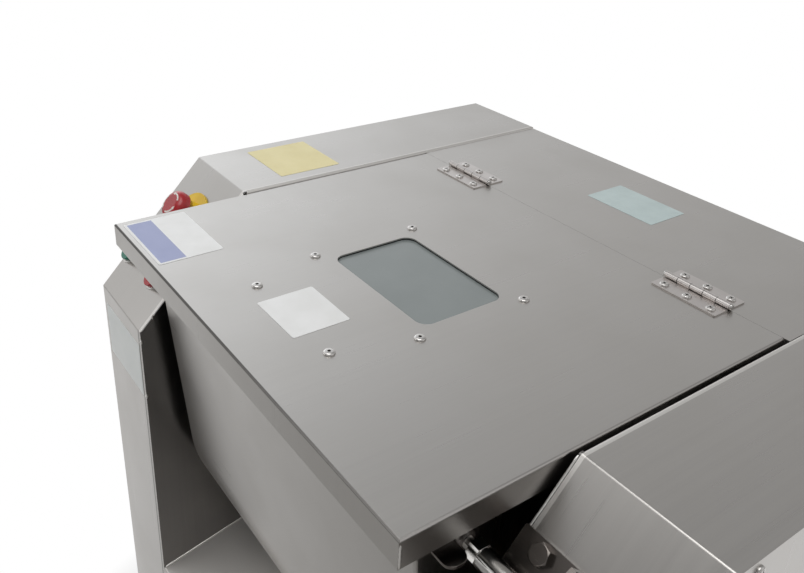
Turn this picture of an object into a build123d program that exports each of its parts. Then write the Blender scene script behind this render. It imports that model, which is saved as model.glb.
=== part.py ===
from build123d import *
from math import acos, atan2, cos, degrees, pi, radians, sin, sqrt, tan
import os

# Horizontal dough mixer: a trough that tilts between two pedestals, under a hinged lid.
# X runs to the right, Y to the back and Z up. The origin is on the floor, under the middle.

# Overall sizes, in millimetres
machine_width = 837.0
machine_height = 900.0
lid_front = -330.0
machine_back = 326.0
pedestal_width = 137.5
base_bottom = 60.0
sheet = 1.5
side_plate = 2.0
fold_radius = 3.0
frame_gap = 3.5

outer_face = machine_width / 2
inner_face = outer_face - pedestal_width

# Pedestal profile: an upright front, a sloped fascia and a flat top
pedestal_front = lid_front + 17.0
slope_top_y = lid_front + 163.0
slope_foot_z = 745.0
slope_tilt = atan2(machine_height - slope_foot_z, slope_top_y - pedestal_front)
wrap_flange = 20.0
lip_drop = 12.0
lip_radius = 3.5

# Lid and rear deck
lid_left = -279.5
lid_right = 275.0
lid_top = 898.0
lid_skirt = 26.0
hinge_y = lid_front + 444.7
hinge_gap = 0.12
deck_front_flange = 40.0
deck_back_flange = 20.0
deck_side_gap = 0.5

# Viewing window, held under the lid by a clamp frame
window_x = -1.6
window_y = lid_front + 219.0
window_length = 160.0
window_depth = 101.5
window_corner = 13.0
pane_overlap = 9.0
pane_fit = 1.0
gasket_thickness = 1.5
pane_thickness = 5.0
clamp_margin = 27.0
clamp_floor = 2.0
window_screw_x = 93.5
window_screw_y = 64.5

# Stiffening channel under the lid's front
stiffener_y = lid_front + 73.0
stiffener_length = 200.0
stiffener_width = 30.0
stiffener_depth = 12.0
stiffener_screw_x = 69.0

# Screw heads: how far their rounded edge reaches down and in, as shares of the head's height
head_edge_drop = 0.6
head_edge_reach = 0.8

# M6 button-head lid screws with nuts
lid_screw_head = 11.5
lid_screw_head_height = 2.4
lid_screw_shank = 6.0
lid_screw_hole = 6.4
lid_nut_flats = 10.0
lid_nut_height = 5.0
lid_screw_tail = 2.0

# Butt hinges, 78 x 50 mm, five knuckles each
hinge_middles = (-185.0, 177.0)
hinge_length = 78.0
hinge_leaf = 25.0
leaf_thickness = 1.5
knuckle_count = 5
lid_knuckles = (1, 3)
deck_knuckles = (0, 2, 4)
knuckle_radius = 3.5
knuckle_gap = 0.3
knuckle_bay = 0.6
hinge_pin_radius = 2.0
hinge_pin_clearance = 0.05
hinge_pin_z = lid_top + 4.0
hinge_pin_head_radius = 3.2
hinge_pin_head = 2.5
hinge_pin_head_edge = 1.5
hinge_screw_count = 3
hinge_screw_pitch = 28.0
hinge_screw_inset = 17.0
hinge_screw_head = 8.5
hinge_screw_head_height = 2.2
hinge_screw_shank = 4.0
hinge_screw_hole = 4.3
hinge_screw_grip = 8.0

# Trough: two leaning walls tangent to a round bottom about the tilting axis
pivot_y = lid_front + 238.0
pivot_z = lid_top - 287.0
trough_radius = 180.0
trough_half_length = 248.0
trough_sheet = 2.5
end_plate = 4.0
end_plate_edge = 3.0
wall_lean = radians(5.35)
trough_rim_z = lid_top - 30.0
trough_lip = 14.0
swing_radius = 258.5
front_rise = (trough_rim_z - pivot_z + trough_radius * sin(wall_lean)) / cos(wall_lean)
back_rise = sqrt(swing_radius**2 - trough_radius**2)

# Trunnions that carry the trough, and seals on the shaft inside them
trunnion_radius = 40.0
trunnion_clearance = 0.05
trunnion_bore = 23.0
trunnion_gap = 3.5
trunnion_end = inner_face - trunnion_gap
bush_radius = 60.0
bush_length = 21.5
bush_lead = 1.5
seal_radius = 31.0
seal_length = 8.0
seal_clearance = 0.05

# Agitator: a through shaft with two helical bars on arms
shaft_radius = 20.0
shaft_left_end = -330.0
shaft_right_end = 385.0
shaft_chamfer = 2.0
bar_radius = 150.0
bar_radial = 16.0
bar_across = 36.0
bar_half_length = 232.0
bar_twist = 50.0
bar_sections = 7
arm_stations = (-186.0, 0.0, 186.0)
arm_root = 40.0
arm_tip = 26.0
arm_thickness = 18.0
arm_corner = 4.5
arm_start = 24.0
hub_radius = 34.0
hub_length = 44.0

# Flange bearings on the outside of the inner side plates
bearing_flange = 130.0
bearing_flange_thickness = 15.0
bearing_flange_corner = 22.0
bearing_hub_radius = 46.0
bearing_hub_draft = 8.0
bearing_length = 35.0
bearing_bolt_pitch = 102.0
bearing_bolt_hole = 12.4
insert_radius = 30.0
insert_clearance = 0.05
insert_reach = 43.0
plate_shaft_hole = 64.0
bearing_bolt_flats = 18.0
bearing_bolt_head = 7.5
bearing_bolt_shank = 12.0
bearing_nut = 10.0

# Belt drive in the right pedestal
drive_y = 30.0
drive_z = 229.0
driven_pulley_radius = 120.0
drive_pulley_radius = 62.5
pulley_start = 335.0
pulley_width = 44.0
groove_pitch = 19.0
groove_top = 17.2
groove_bottom = 8.0
groove_depth = 17.0
belt_top = 16.3
belt_bottom = 8.6
belt_height = 12.0
belt_sink = 0.5
pulley_hub_radius = 36.0
pulley_rim = 26.0
pulley_web = 16.0
pulley_hole_radius = 15.0
pulley_hole_circle = 65.0
pulley_hole_count = 5
output_shaft_radius = 17.5
output_shaft_clearance = 0.05
output_shaft_depth = 15.0
output_shaft_gap = 1.0
output_shaft_end = 392.0
output_plate_hole = 60.0

# Gear motor on the floor plate
floor_thickness = 4.0
channel = 40.0
channel_wall = 3.0
floor_top = base_bottom + channel + floor_thickness
floor_margin = 2.0
gearbox_start = 60.0
gearbox_end = 250.0
gearbox_width = 150.0
gearbox_height = 205.0
gearbox_crown = 60.0
gearbox_foot_width = 200.0
gearbox_foot_height = 16.0
gearbox_foot_corner = 12.0
gearbox_boss_radius = 42.0
gearbox_boss = 14.0
motor_start = -175.0
motor_radius = 70.0
fin_count = 18
fin_height = 12.0
fin_thickness = 4.0
motor_flange_radius = 90.0
motor_flange = 14.0
terminal_box = (90.0, 80.0, 48.0)
terminal_box_corner = 8.0
cowl_length = 60.0
cowl_radius = 84.0
cowl_edge = 15.0
cowl_slots = 8
foot_bolt_pitch_x = 130.0
foot_bolt_pitch_y = 174.0

# Levelling feet
foot_x = outer_face - frame_gap - channel / 2
foot_front_y = pedestal_front + sheet + channel / 2
foot_back_y = machine_back - sheet - channel / 2
foot_pad_radius = 25.0
foot_pad_height = 14.0
foot_pad_edge_drop = 7.0
foot_pad_edge_reach = 11.25
foot_stud_seat = 5.6
foot_stud_radius = 6.0
foot_nut_flats = 19.0
foot_nut_height = 10.0

# Base cover with its sloping shelf, and the bulkhead behind the trough
shelf_front_z = lid_top - 542.0
shelf_tilt = radians(13.0)
bulkhead_y = hinge_y + hinge_gap + sheet
bulkhead_lap = 16.0

# Rear panel and the screws of all covers
rear_panel_half_width = inner_face + 20.0
rear_panel_top = lid_top - deck_back_flange - 2.0
vent_rows = 6
vent_columns = 3
vent_length = 90.0
vent_height = 7.0
vent_pitch_x = 130.0
vent_pitch_z = 20.0
vent_middle_z = 240.0
cover_screw_head = 9.5
cover_screw_head_height = 2.5
cover_screw_shank = 5.0
cover_screw_hole = 5.4
cover_screw_grip = 8.0
cover_screw_inset = 11.0
cover_screw_heights = (130.0, 430.0, 690.0)
cover_screw_crest = 20.0
cover_screw_top_y = 70.0
rear_screw_heights = (125.0, 360.0, 620.0, 850.0)

# Controls on the left fascia: distances across from the emergency stop's line and up the slope
control_x = 351.0
control_pitch = 40.75
control_shift = -3.5
button_rise = 60.0
estop_rise = 147.0
panel_hole = 22.4
neck_radius = 11.0
neck_depth = 30.0
bezel_radius = 15.0
bezel_height = 10.0
bezel_edge = 1.0
bezel_recess_radius = 12.4
bezel_recess_floor = 7.0
button_radius = 12.0
button_stem_radius = 8.3
button_bore_radius = 8.5
button_travel = 3.0
button_end_gap = 0.4
button_seat = bezel_recess_floor + button_travel + button_end_gap
button_top = 16.0
button_edge = 1.2
stem_depth = 20.0
estop_disc_radius = 31.0
estop_disc_height = 2.5
estop_barrel_radius = 18.0
estop_barrel_height = 11.0
estop_barrel_draft = 8.0
estop_stem_radius = 8.0
estop_spigot_radius = 5.0
estop_spigot_clearance = 0.05
estop_travel = 5.0
estop_cap_radius = 20.0
estop_end_gap = 1.0
estop_cap_seat = estop_barrel_height + estop_travel + estop_end_gap
estop_cap_top = 34.0
estop_cap_crown = 9.0
estop_cap_edge = 2.0
estop_cap_play = 0.3
estop_cap_pocket = 1.0
estop_cap_roof = 6.0
contact_width = 30.0
contact_height = 44.0
contact_depth = 36.0
contact_corner = 2.0

# Trough lock on the right fascia: distances across from the inner edge and up the slope
lock_rise = 110.0
lock_height = 19.0
lock_bar_radius = 9.0
lock_bar_clearance = 0.05
lock_nose_radius = 6.0
lock_nose_chamfer = 1.5
lock_nose_start = 257.0
lock_collar_start = 265.5
lock_collar_length = 10.0
lock_collar_flats = 18.5
lock_bar_end = 388.0
lock_knob_radius = 16.0
lock_knob_bulge = 11.2
lock_plate_left = -0.6
lock_plate_right = 94.5
lock_plate_low = 62.0
lock_plate_high = 148.0
lock_plate_thickness = 5.0
lock_plate_corner = 2.0
lock_guide_start = 54.5
lock_guide_length = 36.0
lock_guide_half = 14.0
lock_flange_start = 53.0
lock_flange_thickness = 5.0
lock_bolt_across = 24.0
lock_bolt_rises = (137.5, 82.5)
lock_bolt_flats = 16.0
lock_bolt_turns = (-15.0, 30.0)
lock_bolt_head = 6.4
lock_bolt_crown = 7.6
lock_bolt_bevel = 60.0
lock_bolt_shank = 10.0
lock_bolt_hole = 10.4
lock_bolt_grip = 16.0
lock_nut = 8.0
lug_thickness = 8.0
lug_radius = 13.0
lug_bore_radius = 8.8

# Lid rests on the inner side plates
rest_y = -40.0
rest_length = 40.0
rest_reach = 21.0
rest_drop = 30.0
rest_sheet = 3.0
rest_pad_height = 5.0
rest_pad_width = 19.0
rest_pad_length = 32.0
rest_pad_corner = 3.0
rest_pad_gap = 0.3

# Electrics
box_width = 92.0
box_depth = 190.0
box_height = 290.0
box_y = 190.0
box_z = 560.0
box_door = 12.0
box_door_lip = 6.0
gland_x = -345.0
gland_y = 225.0
gland_flats = 24.0
gland_hole = 20.4
gland_fit = 0.2
gland_nut = 8.0
gland_cap_radius = 11.0
gland_cap = 14.0
gland_cap_taper = 12.0
gland_tail = 8.0
gland_bore_radius = 5.0

os.makedirs("parts", exist_ok=True)

tilt_axis = Axis((0, pivot_y, pivot_z), (1, 0, 0))
drive_axis = Axis((0, drive_y, drive_z), (1, 0, 0))
fascia_normal = (0, -sin(slope_tilt), cos(slope_tilt))
left_fascia = Plane((-control_x, pedestal_front, slope_foot_z), (1, 0, 0), fascia_normal)
fascia_axis = Axis((0, pedestal_front, slope_foot_z), fascia_normal)
right_fascia = Plane((inner_face, pedestal_front, slope_foot_z), (1, 0, 0), fascia_normal)
control_spots = [(control_shift - control_pitch, button_rise), (control_shift + control_pitch, button_rise),
                 (0, estop_rise)]
lock_axis_y = pedestal_front + lock_rise * cos(slope_tilt) - lock_height * sin(slope_tilt)
lock_axis_z = slope_foot_z + lock_rise * sin(slope_tilt) + lock_height * cos(slope_tilt)
lid_under = lid_top - sheet
clamp_under = lid_under - gasket_thickness - pane_thickness - clamp_floor
window_screws = [(window_x + x, window_y + y) for x in (-window_screw_x, window_screw_x)
                 for y in (-window_screw_y, window_screw_y)]
stiffener_screws = [(window_x + x, stiffener_y) for x in (-stiffener_screw_x, stiffener_screw_x)]
foot_spots = [(x, y) for x in (-foot_x, foot_x) for y in (foot_front_y, foot_back_y)]


def pedestal_outline(inset, bottom):
    front = pedestal_front + inset
    back = machine_back - inset
    top = machine_height - inset
    foot = slope_foot_z - inset * (1 - sin(slope_tilt)) / cos(slope_tilt)
    crest = slope_top_y + inset * (1 - cos(slope_tilt)) / sin(slope_tilt)
    return [(front, bottom), (front, foot), (crest, top), (back, top), (back, bottom)]


def fold_edges(piece, x):
    lines = piece.edges().filter_by(Axis.X)
    bends = pedestal_outline(0, base_bottom)[1:4]
    return [lines.sort_by_distance((x, y, z))[0] for y, z in bends]


def side_spots(inset):
    low, foot, crest, rear, end = pedestal_outline(inset, base_bottom)
    bottom, middle, high = cover_screw_heights
    return [(low[0], bottom), (low[0], middle), (foot[0], high), (crest[0] + cover_screw_crest, crest[1]),
            (cover_screw_top_y, crest[1]), (rear[0], crest[1]), (rear[0], middle), (end[0], bottom)]


def trough_point(radius, rise, face):
    y = pivot_y + face * (radius * cos(wall_lean) + rise * sin(wall_lean))
    z = pivot_z - radius * sin(wall_lean) + rise * cos(wall_lean)
    return (y, z)


def make_screws(plane, spots, head, head_height, shank, grip):
    with BuildPart() as screws:
        with BuildSketch(plane):
            with Locations(*spots):
                Circle(head / 2)
        extrude(amount=head_height)
        rims = screws.edges().filter_by(GeomType.CIRCLE).group_by(Axis(plane.origin, plane.z_dir))[-1]
        chamfer(rims, head_height * head_edge_drop, head_height * head_edge_reach)
        with BuildSketch(plane):
            with Locations(*spots):
                Circle(shank / 2)
        extrude(amount=-grip)
    return screws


# Pedestal sheets, one set for each side; the top sheet bends down over the inner side plate

lip_start = slope_top_y + fold_radius
lip_end = machine_back - fold_radius
lip_bottom = machine_height - lip_drop


def lip_arc(side, x, z, radius):
    slant = radius * cos(pi / 4)
    return ThreePointArc((x, z + radius), (x - side * slant, z + slant), (x - side * radius, z))


def make_wrap(side):
    start = side * (inner_face + side_plate)
    width = pedestal_width - side_plate - sheet
    with BuildPart() as wrap:
        with BuildSketch(Plane.YZ.offset(start)):
            with BuildLine():
                Polyline(*pedestal_outline(0, base_bottom), close=True)
            make_face()
        extrude(amount=side * width)
        fillet(fold_edges(wrap, start + side * width / 2), fold_radius)
        with BuildSketch(Plane.YZ.offset(start)):
            with BuildLine():
                Polyline(*pedestal_outline(sheet, base_bottom - sheet), close=True)
            make_face()
        extrude(amount=side * (width - sheet), mode=Mode.SUBTRACT)
        with BuildSketch(Plane.YZ.offset(start + side * width)):
            with BuildLine():
                Polyline(*pedestal_outline(wrap_flange, base_bottom - sheet), close=True)
            make_face()
            with Locations(*side_spots(cover_screw_inset)):
                Circle(cover_screw_hole / 2)
        extrude(amount=-side * sheet, mode=Mode.SUBTRACT)
        with BuildSketch(left_fascia if side < 0 else right_fascia):
            if side < 0:
                with Locations(*control_spots):
                    Circle(panel_hole / 2)
            else:
                with Locations(*[(lock_bolt_across, rise) for rise in lock_bolt_rises]):
                    Circle(lock_bolt_hole / 2)
        extrude(amount=-2 * sheet, mode=Mode.SUBTRACT)
        with BuildSketch(Plane.XZ.offset(-machine_back)):
            with Locations(*[spot for spot in rear_spots if side * spot[0] > inner_face]):
                Circle(cover_screw_hole / 2)
        extrude(amount=2 * sheet, both=True, mode=Mode.SUBTRACT)
        with BuildSketch(Plane.XY.offset(machine_height)):
            with Locations((side * (inner_face + lip_radius / 2), (lip_start + lip_end) / 2)):
                Rectangle(lip_radius, lip_end - lip_start)
        extrude(amount=-2 * sheet, mode=Mode.SUBTRACT)
        with BuildSketch(Plane.XZ.offset(-lip_start)):
            bend_x = side * (inner_face + lip_radius)
            bend_z = machine_height - lip_radius
            back_x = side * (inner_face + sheet)
            with BuildLine():
                lip_arc(side, bend_x, bend_z, lip_radius)
                Polyline((side * inner_face, bend_z), (side * inner_face, lip_bottom), (back_x, lip_bottom),
                         (back_x, bend_z))
                lip_arc(side, bend_x, bend_z, lip_radius - sheet)
                Line((bend_x, machine_height - sheet), (bend_x, machine_height))
            make_face()
        extrude(amount=lip_start - lip_end)
    return wrap


def make_side_plate(side):
    low, foot, crest, rear, end = pedestal_outline(0, floor_top)
    with BuildPart() as inner:
        with BuildSketch(Plane.YZ.offset(side * inner_face)):
            with BuildLine():
                Polyline(low, foot, crest, (lip_start, machine_height), (lip_start, lip_bottom),
                         (rear[0], lip_bottom), end, close=True)
            make_face()
            with Locations((pivot_y, pivot_z)):
                Circle(plate_shaft_hole / 2, mode=Mode.SUBTRACT)
                with GridLocations(bearing_bolt_pitch, bearing_bolt_pitch, 2, 2):
                    Circle(bearing_bolt_hole / 2, mode=Mode.SUBTRACT)
            if side > 0:
                with Locations((drive_y, drive_z)):
                    Circle(output_plate_hole / 2, mode=Mode.SUBTRACT)
        extrude(amount=side * side_plate)
        fillet(fold_edges(inner, side * (inner_face + side_plate / 2))[:2], fold_radius)
    return inner


def make_cover(side):
    with BuildPart() as cover:
        with BuildSketch(Plane.YZ.offset(side * outer_face)):
            with BuildLine():
                Polyline(*pedestal_outline(0, base_bottom), close=True)
            make_face()
            with Locations(*side_spots(cover_screw_inset)):
                Circle(cover_screw_hole / 2, mode=Mode.SUBTRACT)
        extrude(amount=-side * sheet)
        fillet(fold_edges(cover, side * (outer_face - sheet / 2)), fold_radius)
    return cover


rear_spots = [(side * (rear_panel_half_width - cover_screw_inset), z)
              for side in (-1, 1) for z in rear_screw_heights]

left_wrap = make_wrap(-1)
right_wrap = make_wrap(1)
left_side_plate = make_side_plate(-1)
right_side_plate = make_side_plate(1)
left_cover = make_cover(-1)
right_cover = make_cover(1)

left_screws = make_screws(Plane((-outer_face, 0, 0), (0, -1, 0), (-1, 0, 0)),
                          [(-y, z) for y, z in side_spots(cover_screw_inset)],
                          cover_screw_head, cover_screw_head_height, cover_screw_shank, cover_screw_grip)
right_screws = make_screws(Plane.YZ.offset(outer_face), side_spots(cover_screw_inset),
                           cover_screw_head, cover_screw_head_height, cover_screw_shank, cover_screw_grip)
rear_screws = make_screws(Plane((0, machine_back + sheet, 0), (-1, 0, 0), (0, 1, 0)),
                          [(-x, z) for x, z in rear_spots],
                          cover_screw_head, cover_screw_head_height, cover_screw_shank, cover_screw_grip)
with BuildPart() as cover_screws:
    add(left_screws.part)
    add(right_screws.part)
    add(rear_screws.part)

# Base frame of folded channels, open downwards, under the floor plate

frame_x = outer_face - frame_gap
frame_front = pedestal_front + sheet
frame_back = machine_back - sheet
frame_middle = (frame_front + frame_back) / 2
frame_depth = frame_back - frame_front
side_bay = frame_x - inner_face - 1.5 * channel
middle_bay = 2 * (inner_face - channel / 2)
bay_middle = inner_face + channel / 2 + side_bay / 2

with BuildPart() as base_frame:
    with BuildSketch(Plane.XY.offset(base_bottom)):
        with Locations((0, frame_middle)):
            Rectangle(2 * frame_x, frame_depth)
            Rectangle(middle_bay, frame_depth - 2 * channel, mode=Mode.SUBTRACT)
        with Locations((-bay_middle, frame_middle), (bay_middle, frame_middle)):
            Rectangle(side_bay, frame_depth - 2 * channel, mode=Mode.SUBTRACT)
    extrude(amount=channel)
    with BuildSketch(Plane.XY.offset(base_bottom)):
        with Locations((0, frame_middle)):
            Rectangle(2 * (frame_x - channel_wall), frame_depth - 2 * channel_wall)
            Rectangle(middle_bay + 2 * channel_wall, frame_depth - 2 * channel + 2 * channel_wall,
                      mode=Mode.SUBTRACT)
        with Locations((-bay_middle, frame_middle), (bay_middle, frame_middle)):
            Rectangle(side_bay + 2 * channel_wall, frame_depth - 2 * channel + 2 * channel_wall,
                      mode=Mode.SUBTRACT)
    extrude(amount=channel - channel_wall, mode=Mode.SUBTRACT)

with BuildPart() as floor_plate:
    with BuildSketch(Plane.XY.offset(base_bottom + channel)):
        with Locations((0, frame_middle)):
            Rectangle(2 * frame_x, frame_depth)
        with Locations((gland_x, gland_y)):
            Circle(gland_hole / 2, mode=Mode.SUBTRACT)
    extrude(amount=floor_thickness)

with BuildPart() as foot_pads:
    with BuildSketch():
        with Locations(*foot_spots):
            Circle(foot_pad_radius)
    extrude(amount=foot_pad_height)
    pad_rims = foot_pads.edges().filter_by(GeomType.CIRCLE).group_by(Axis.Z)[-1]
    chamfer(pad_rims, foot_pad_edge_drop, foot_pad_edge_reach)
    with BuildSketch(Plane.XY.offset(foot_pad_height)):
        with Locations(*foot_spots):
            Circle(foot_stud_radius)
    extrude(amount=foot_stud_seat - foot_pad_height, mode=Mode.SUBTRACT)

with BuildPart() as foot_studs:
    with BuildSketch(Plane.XY.offset(foot_stud_seat)):
        with Locations(*foot_spots):
            Circle(foot_stud_radius)
    extrude(amount=base_bottom + channel - channel_wall - foot_stud_seat)
    with BuildSketch(Plane.XY.offset(foot_pad_height)):
        with Locations(*foot_spots):
            RegularPolygon(foot_nut_flats / 2, 6, major_radius=False)
    extrude(amount=foot_nut_height)
    with BuildSketch(Plane.XY.offset(base_bottom + channel - channel_wall)):
        with Locations(*foot_spots):
            RegularPolygon(foot_nut_flats / 2, 6, major_radius=False)
    extrude(amount=-foot_nut_height)

# Base cover: the front panel and the shelf that rises to the bulkhead, folded from one sheet

shelf_back_z = shelf_front_z + (bulkhead_y - pedestal_front) * tan(shelf_tilt)
shelf_drop = sheet / cos(shelf_tilt)
shelf_fold_z = shelf_front_z + sheet * tan(shelf_tilt) - shelf_drop

with BuildPart() as base_cover:
    with BuildSketch(Plane.YZ.offset(-inner_face)):
        with BuildLine():
            Polyline((pedestal_front, base_bottom), (pedestal_front, shelf_front_z),
                     (bulkhead_y, shelf_back_z), (bulkhead_y, shelf_back_z - shelf_drop),
                     (pedestal_front + sheet, shelf_fold_z), (pedestal_front + sheet, base_bottom),
                     close=True)
        make_face()
    extrude(amount=2 * inner_face)
    shelf_folds = base_cover.edges().filter_by(Axis.X)
    fillet(shelf_folds.sort_by_distance((0, pedestal_front, shelf_front_z))[0], fold_radius)

with BuildPart() as rear_bulkhead:
    with BuildSketch(Plane.XZ.offset(-bulkhead_y)):
        with Locations((0, shelf_back_z - bulkhead_lap)):
            Rectangle(2 * inner_face, lid_under - shelf_back_z + bulkhead_lap,
                      align=(Align.CENTER, Align.MIN))
    extrude(amount=-sheet)

deck_front = hinge_y + hinge_gap
deck_half_width = inner_face - deck_side_gap

with BuildPart() as rear_deck:
    with BuildSketch(Plane.YZ.offset(-deck_half_width)):
        with BuildLine():
            Polyline((deck_front, lid_top - deck_front_flange), (deck_front, lid_top),
                     (machine_back, lid_top), (machine_back, lid_top - deck_back_flange),
                     (machine_back - sheet, lid_top - deck_back_flange), (machine_back - sheet, lid_under),
                     (deck_front + sheet, lid_under), (deck_front + sheet, lid_top - deck_front_flange),
                     close=True)
        make_face()
    extrude(amount=2 * deck_half_width)
    deck_fold = rear_deck.edges().filter_by(Axis.X).sort_by_distance((0, machine_back, lid_top))[0]
    fillet(deck_fold, fold_radius)
    with BuildSketch(Plane.XY.offset(lid_top)):
        for middle in hinge_middles:
            with Locations((middle, hinge_y + hinge_screw_inset)):
                with GridLocations(hinge_screw_pitch, 1, hinge_screw_count, 1):
                    Circle(hinge_screw_hole / 2)
    extrude(amount=-2 * sheet, mode=Mode.SUBTRACT)

with BuildPart() as rear_panel:
    with BuildSketch(Plane.XZ.offset(-machine_back)):
        with Locations((0, base_bottom + floor_margin)):
            Rectangle(2 * rear_panel_half_width, rear_panel_top - base_bottom - floor_margin,
                      align=(Align.CENTER, Align.MIN))
        with Locations((0, vent_middle_z)):
            with GridLocations(vent_pitch_x, vent_pitch_z, vent_columns, vent_rows):
                SlotOverall(vent_length, vent_height, mode=Mode.SUBTRACT)
        with Locations(*rear_spots):
            Circle(cover_screw_hole / 2, mode=Mode.SUBTRACT)
    extrude(amount=-sheet)

with BuildPart() as lid_rests:
    for side in (-1, 1):
        with BuildSketch(Plane.XZ.offset(-rest_y + rest_length / 2)):
            with BuildLine():
                rest_top = lid_top - lid_skirt - rest_pad_gap - rest_pad_height
                Polyline((side * inner_face, rest_top), (side * (inner_face - rest_reach), rest_top),
                         (side * (inner_face - rest_reach), rest_top - rest_sheet),
                         (side * (inner_face - rest_sheet), rest_top - rest_sheet),
                         (side * (inner_face - rest_sheet), rest_top - rest_drop),
                         (side * inner_face, rest_top - rest_drop), close=True)
            make_face()
        extrude(amount=-rest_length)

    pad_x = inner_face - rest_reach / 2
    with BuildSketch(Plane.XY.offset(rest_top)):
        with Locations((-pad_x, rest_y), (pad_x, rest_y)):
            RectangleRounded(rest_pad_width, rest_pad_length, rest_pad_corner)
    extrude(amount=rest_pad_height)

# Lid: folded sheet with a skirt at the front and on both sides

lid_middle = (lid_left + lid_right) / 2
lid_width = lid_right - lid_left
lid_depth = hinge_y - hinge_gap - lid_front

with BuildPart() as lid_shell:
    with BuildSketch(Plane.XY.offset(lid_top)):
        with Locations((lid_middle, lid_front + lid_depth / 2)):
            Rectangle(lid_width, lid_depth)
    extrude(amount=-lid_skirt)
    folds = [lid_shell.edges().sort_by_distance((x, y, lid_top))[0]
             for x, y in ((lid_left, window_y), (lid_right, window_y), (lid_middle, lid_front))]
    fillet(folds, fold_radius - sheet / 2)
    with BuildSketch(Plane.XY.offset(lid_top - lid_skirt)):
        with Locations((lid_middle, lid_front + sheet + lid_depth / 2)):
            Rectangle(lid_width - 2 * sheet, lid_depth)
    extrude(amount=lid_skirt - sheet, mode=Mode.SUBTRACT)
    with BuildSketch(Plane.XY.offset(lid_top)):
        with Locations((window_x, window_y)):
            RectangleRounded(window_length, window_depth, window_corner)
        with Locations(*window_screws, *stiffener_screws):
            Circle(lid_screw_hole / 2)
        for middle in hinge_middles:
            with Locations((middle, hinge_y - hinge_screw_inset)):
                with GridLocations(hinge_screw_pitch, 1, hinge_screw_count, 1):
                    Circle(hinge_screw_hole / 2)
    extrude(amount=-2 * sheet, mode=Mode.SUBTRACT)

pane_length = window_length + 2 * pane_overlap
pane_depth = window_depth + 2 * pane_overlap
pane_corner = window_corner + pane_overlap

with BuildPart() as window_gasket:
    with BuildSketch(Plane.XY.offset(lid_under)):
        with Locations((window_x, window_y)):
            RectangleRounded(pane_length, pane_depth, pane_corner)
            RectangleRounded(window_length, window_depth, window_corner, mode=Mode.SUBTRACT)
    extrude(amount=-gasket_thickness)

with BuildPart() as window_pane:
    with BuildSketch(Plane.XY.offset(lid_under - gasket_thickness)):
        with Locations((window_x, window_y)):
            RectangleRounded(pane_length, pane_depth, pane_corner)
    extrude(amount=-pane_thickness)

with BuildPart() as window_clamp:
    with BuildSketch(Plane.XY.offset(clamp_under)):
        with Locations((window_x, window_y)):
            RectangleRounded(window_length + 2 * clamp_margin, window_depth + 2 * clamp_margin, window_corner)
            RectangleRounded(window_length, window_depth, window_corner, mode=Mode.SUBTRACT)
        with Locations(*window_screws):
            Circle(lid_screw_hole / 2, mode=Mode.SUBTRACT)
    extrude(amount=lid_under - clamp_under)
    with BuildSketch(Plane.XY.offset(lid_under)):
        with Locations((window_x, window_y)):
            RectangleRounded(pane_length + pane_fit, pane_depth + pane_fit, pane_corner)
    extrude(amount=-gasket_thickness - pane_thickness, mode=Mode.SUBTRACT)

with BuildPart() as lid_stiffener:
    with BuildSketch(Plane.XY.offset(lid_under)):
        with Locations((window_x, stiffener_y)):
            Rectangle(stiffener_length, stiffener_width)
    extrude(amount=-stiffener_depth)
    with BuildSketch(Plane.XY.offset(lid_under - stiffener_depth)):
        with Locations((window_x, stiffener_y)):
            Rectangle(stiffener_length, stiffener_width - 2 * sheet)
    extrude(amount=stiffener_depth - sheet, mode=Mode.SUBTRACT)
    with BuildSketch(Plane.XY.offset(lid_under)):
        with Locations(*stiffener_screws):
            Circle(lid_screw_hole / 2)
    extrude(amount=-2 * sheet, mode=Mode.SUBTRACT)

window_grip = lid_top - clamp_under + lid_nut_height + lid_screw_tail
stiffener_grip = 2 * sheet + lid_nut_height + lid_screw_tail
long_screws = make_screws(Plane.XY.offset(lid_top), window_screws, lid_screw_head, lid_screw_head_height,
                          lid_screw_shank, window_grip)
short_screws = make_screws(Plane.XY.offset(lid_top), stiffener_screws, lid_screw_head, lid_screw_head_height,
                           lid_screw_shank, stiffener_grip)
with BuildPart() as lid_screws:
    add(long_screws.part)
    add(short_screws.part)

with BuildPart() as lid_nuts:
    for seat, spots in ((clamp_under, window_screws), (lid_under - sheet, stiffener_screws)):
        with BuildSketch(Plane.XY.offset(seat)):
            with Locations(*spots):
                RegularPolygon(lid_nut_flats / 2, 6, major_radius=False)
                Circle(lid_screw_shank / 2, mode=Mode.SUBTRACT)
        extrude(amount=-lid_nut_height)


# Butt hinges: the deck leaves hold the pins in their odd knuckles, the lid leaves turn on them

knuckle_length = hinge_length / knuckle_count


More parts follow.
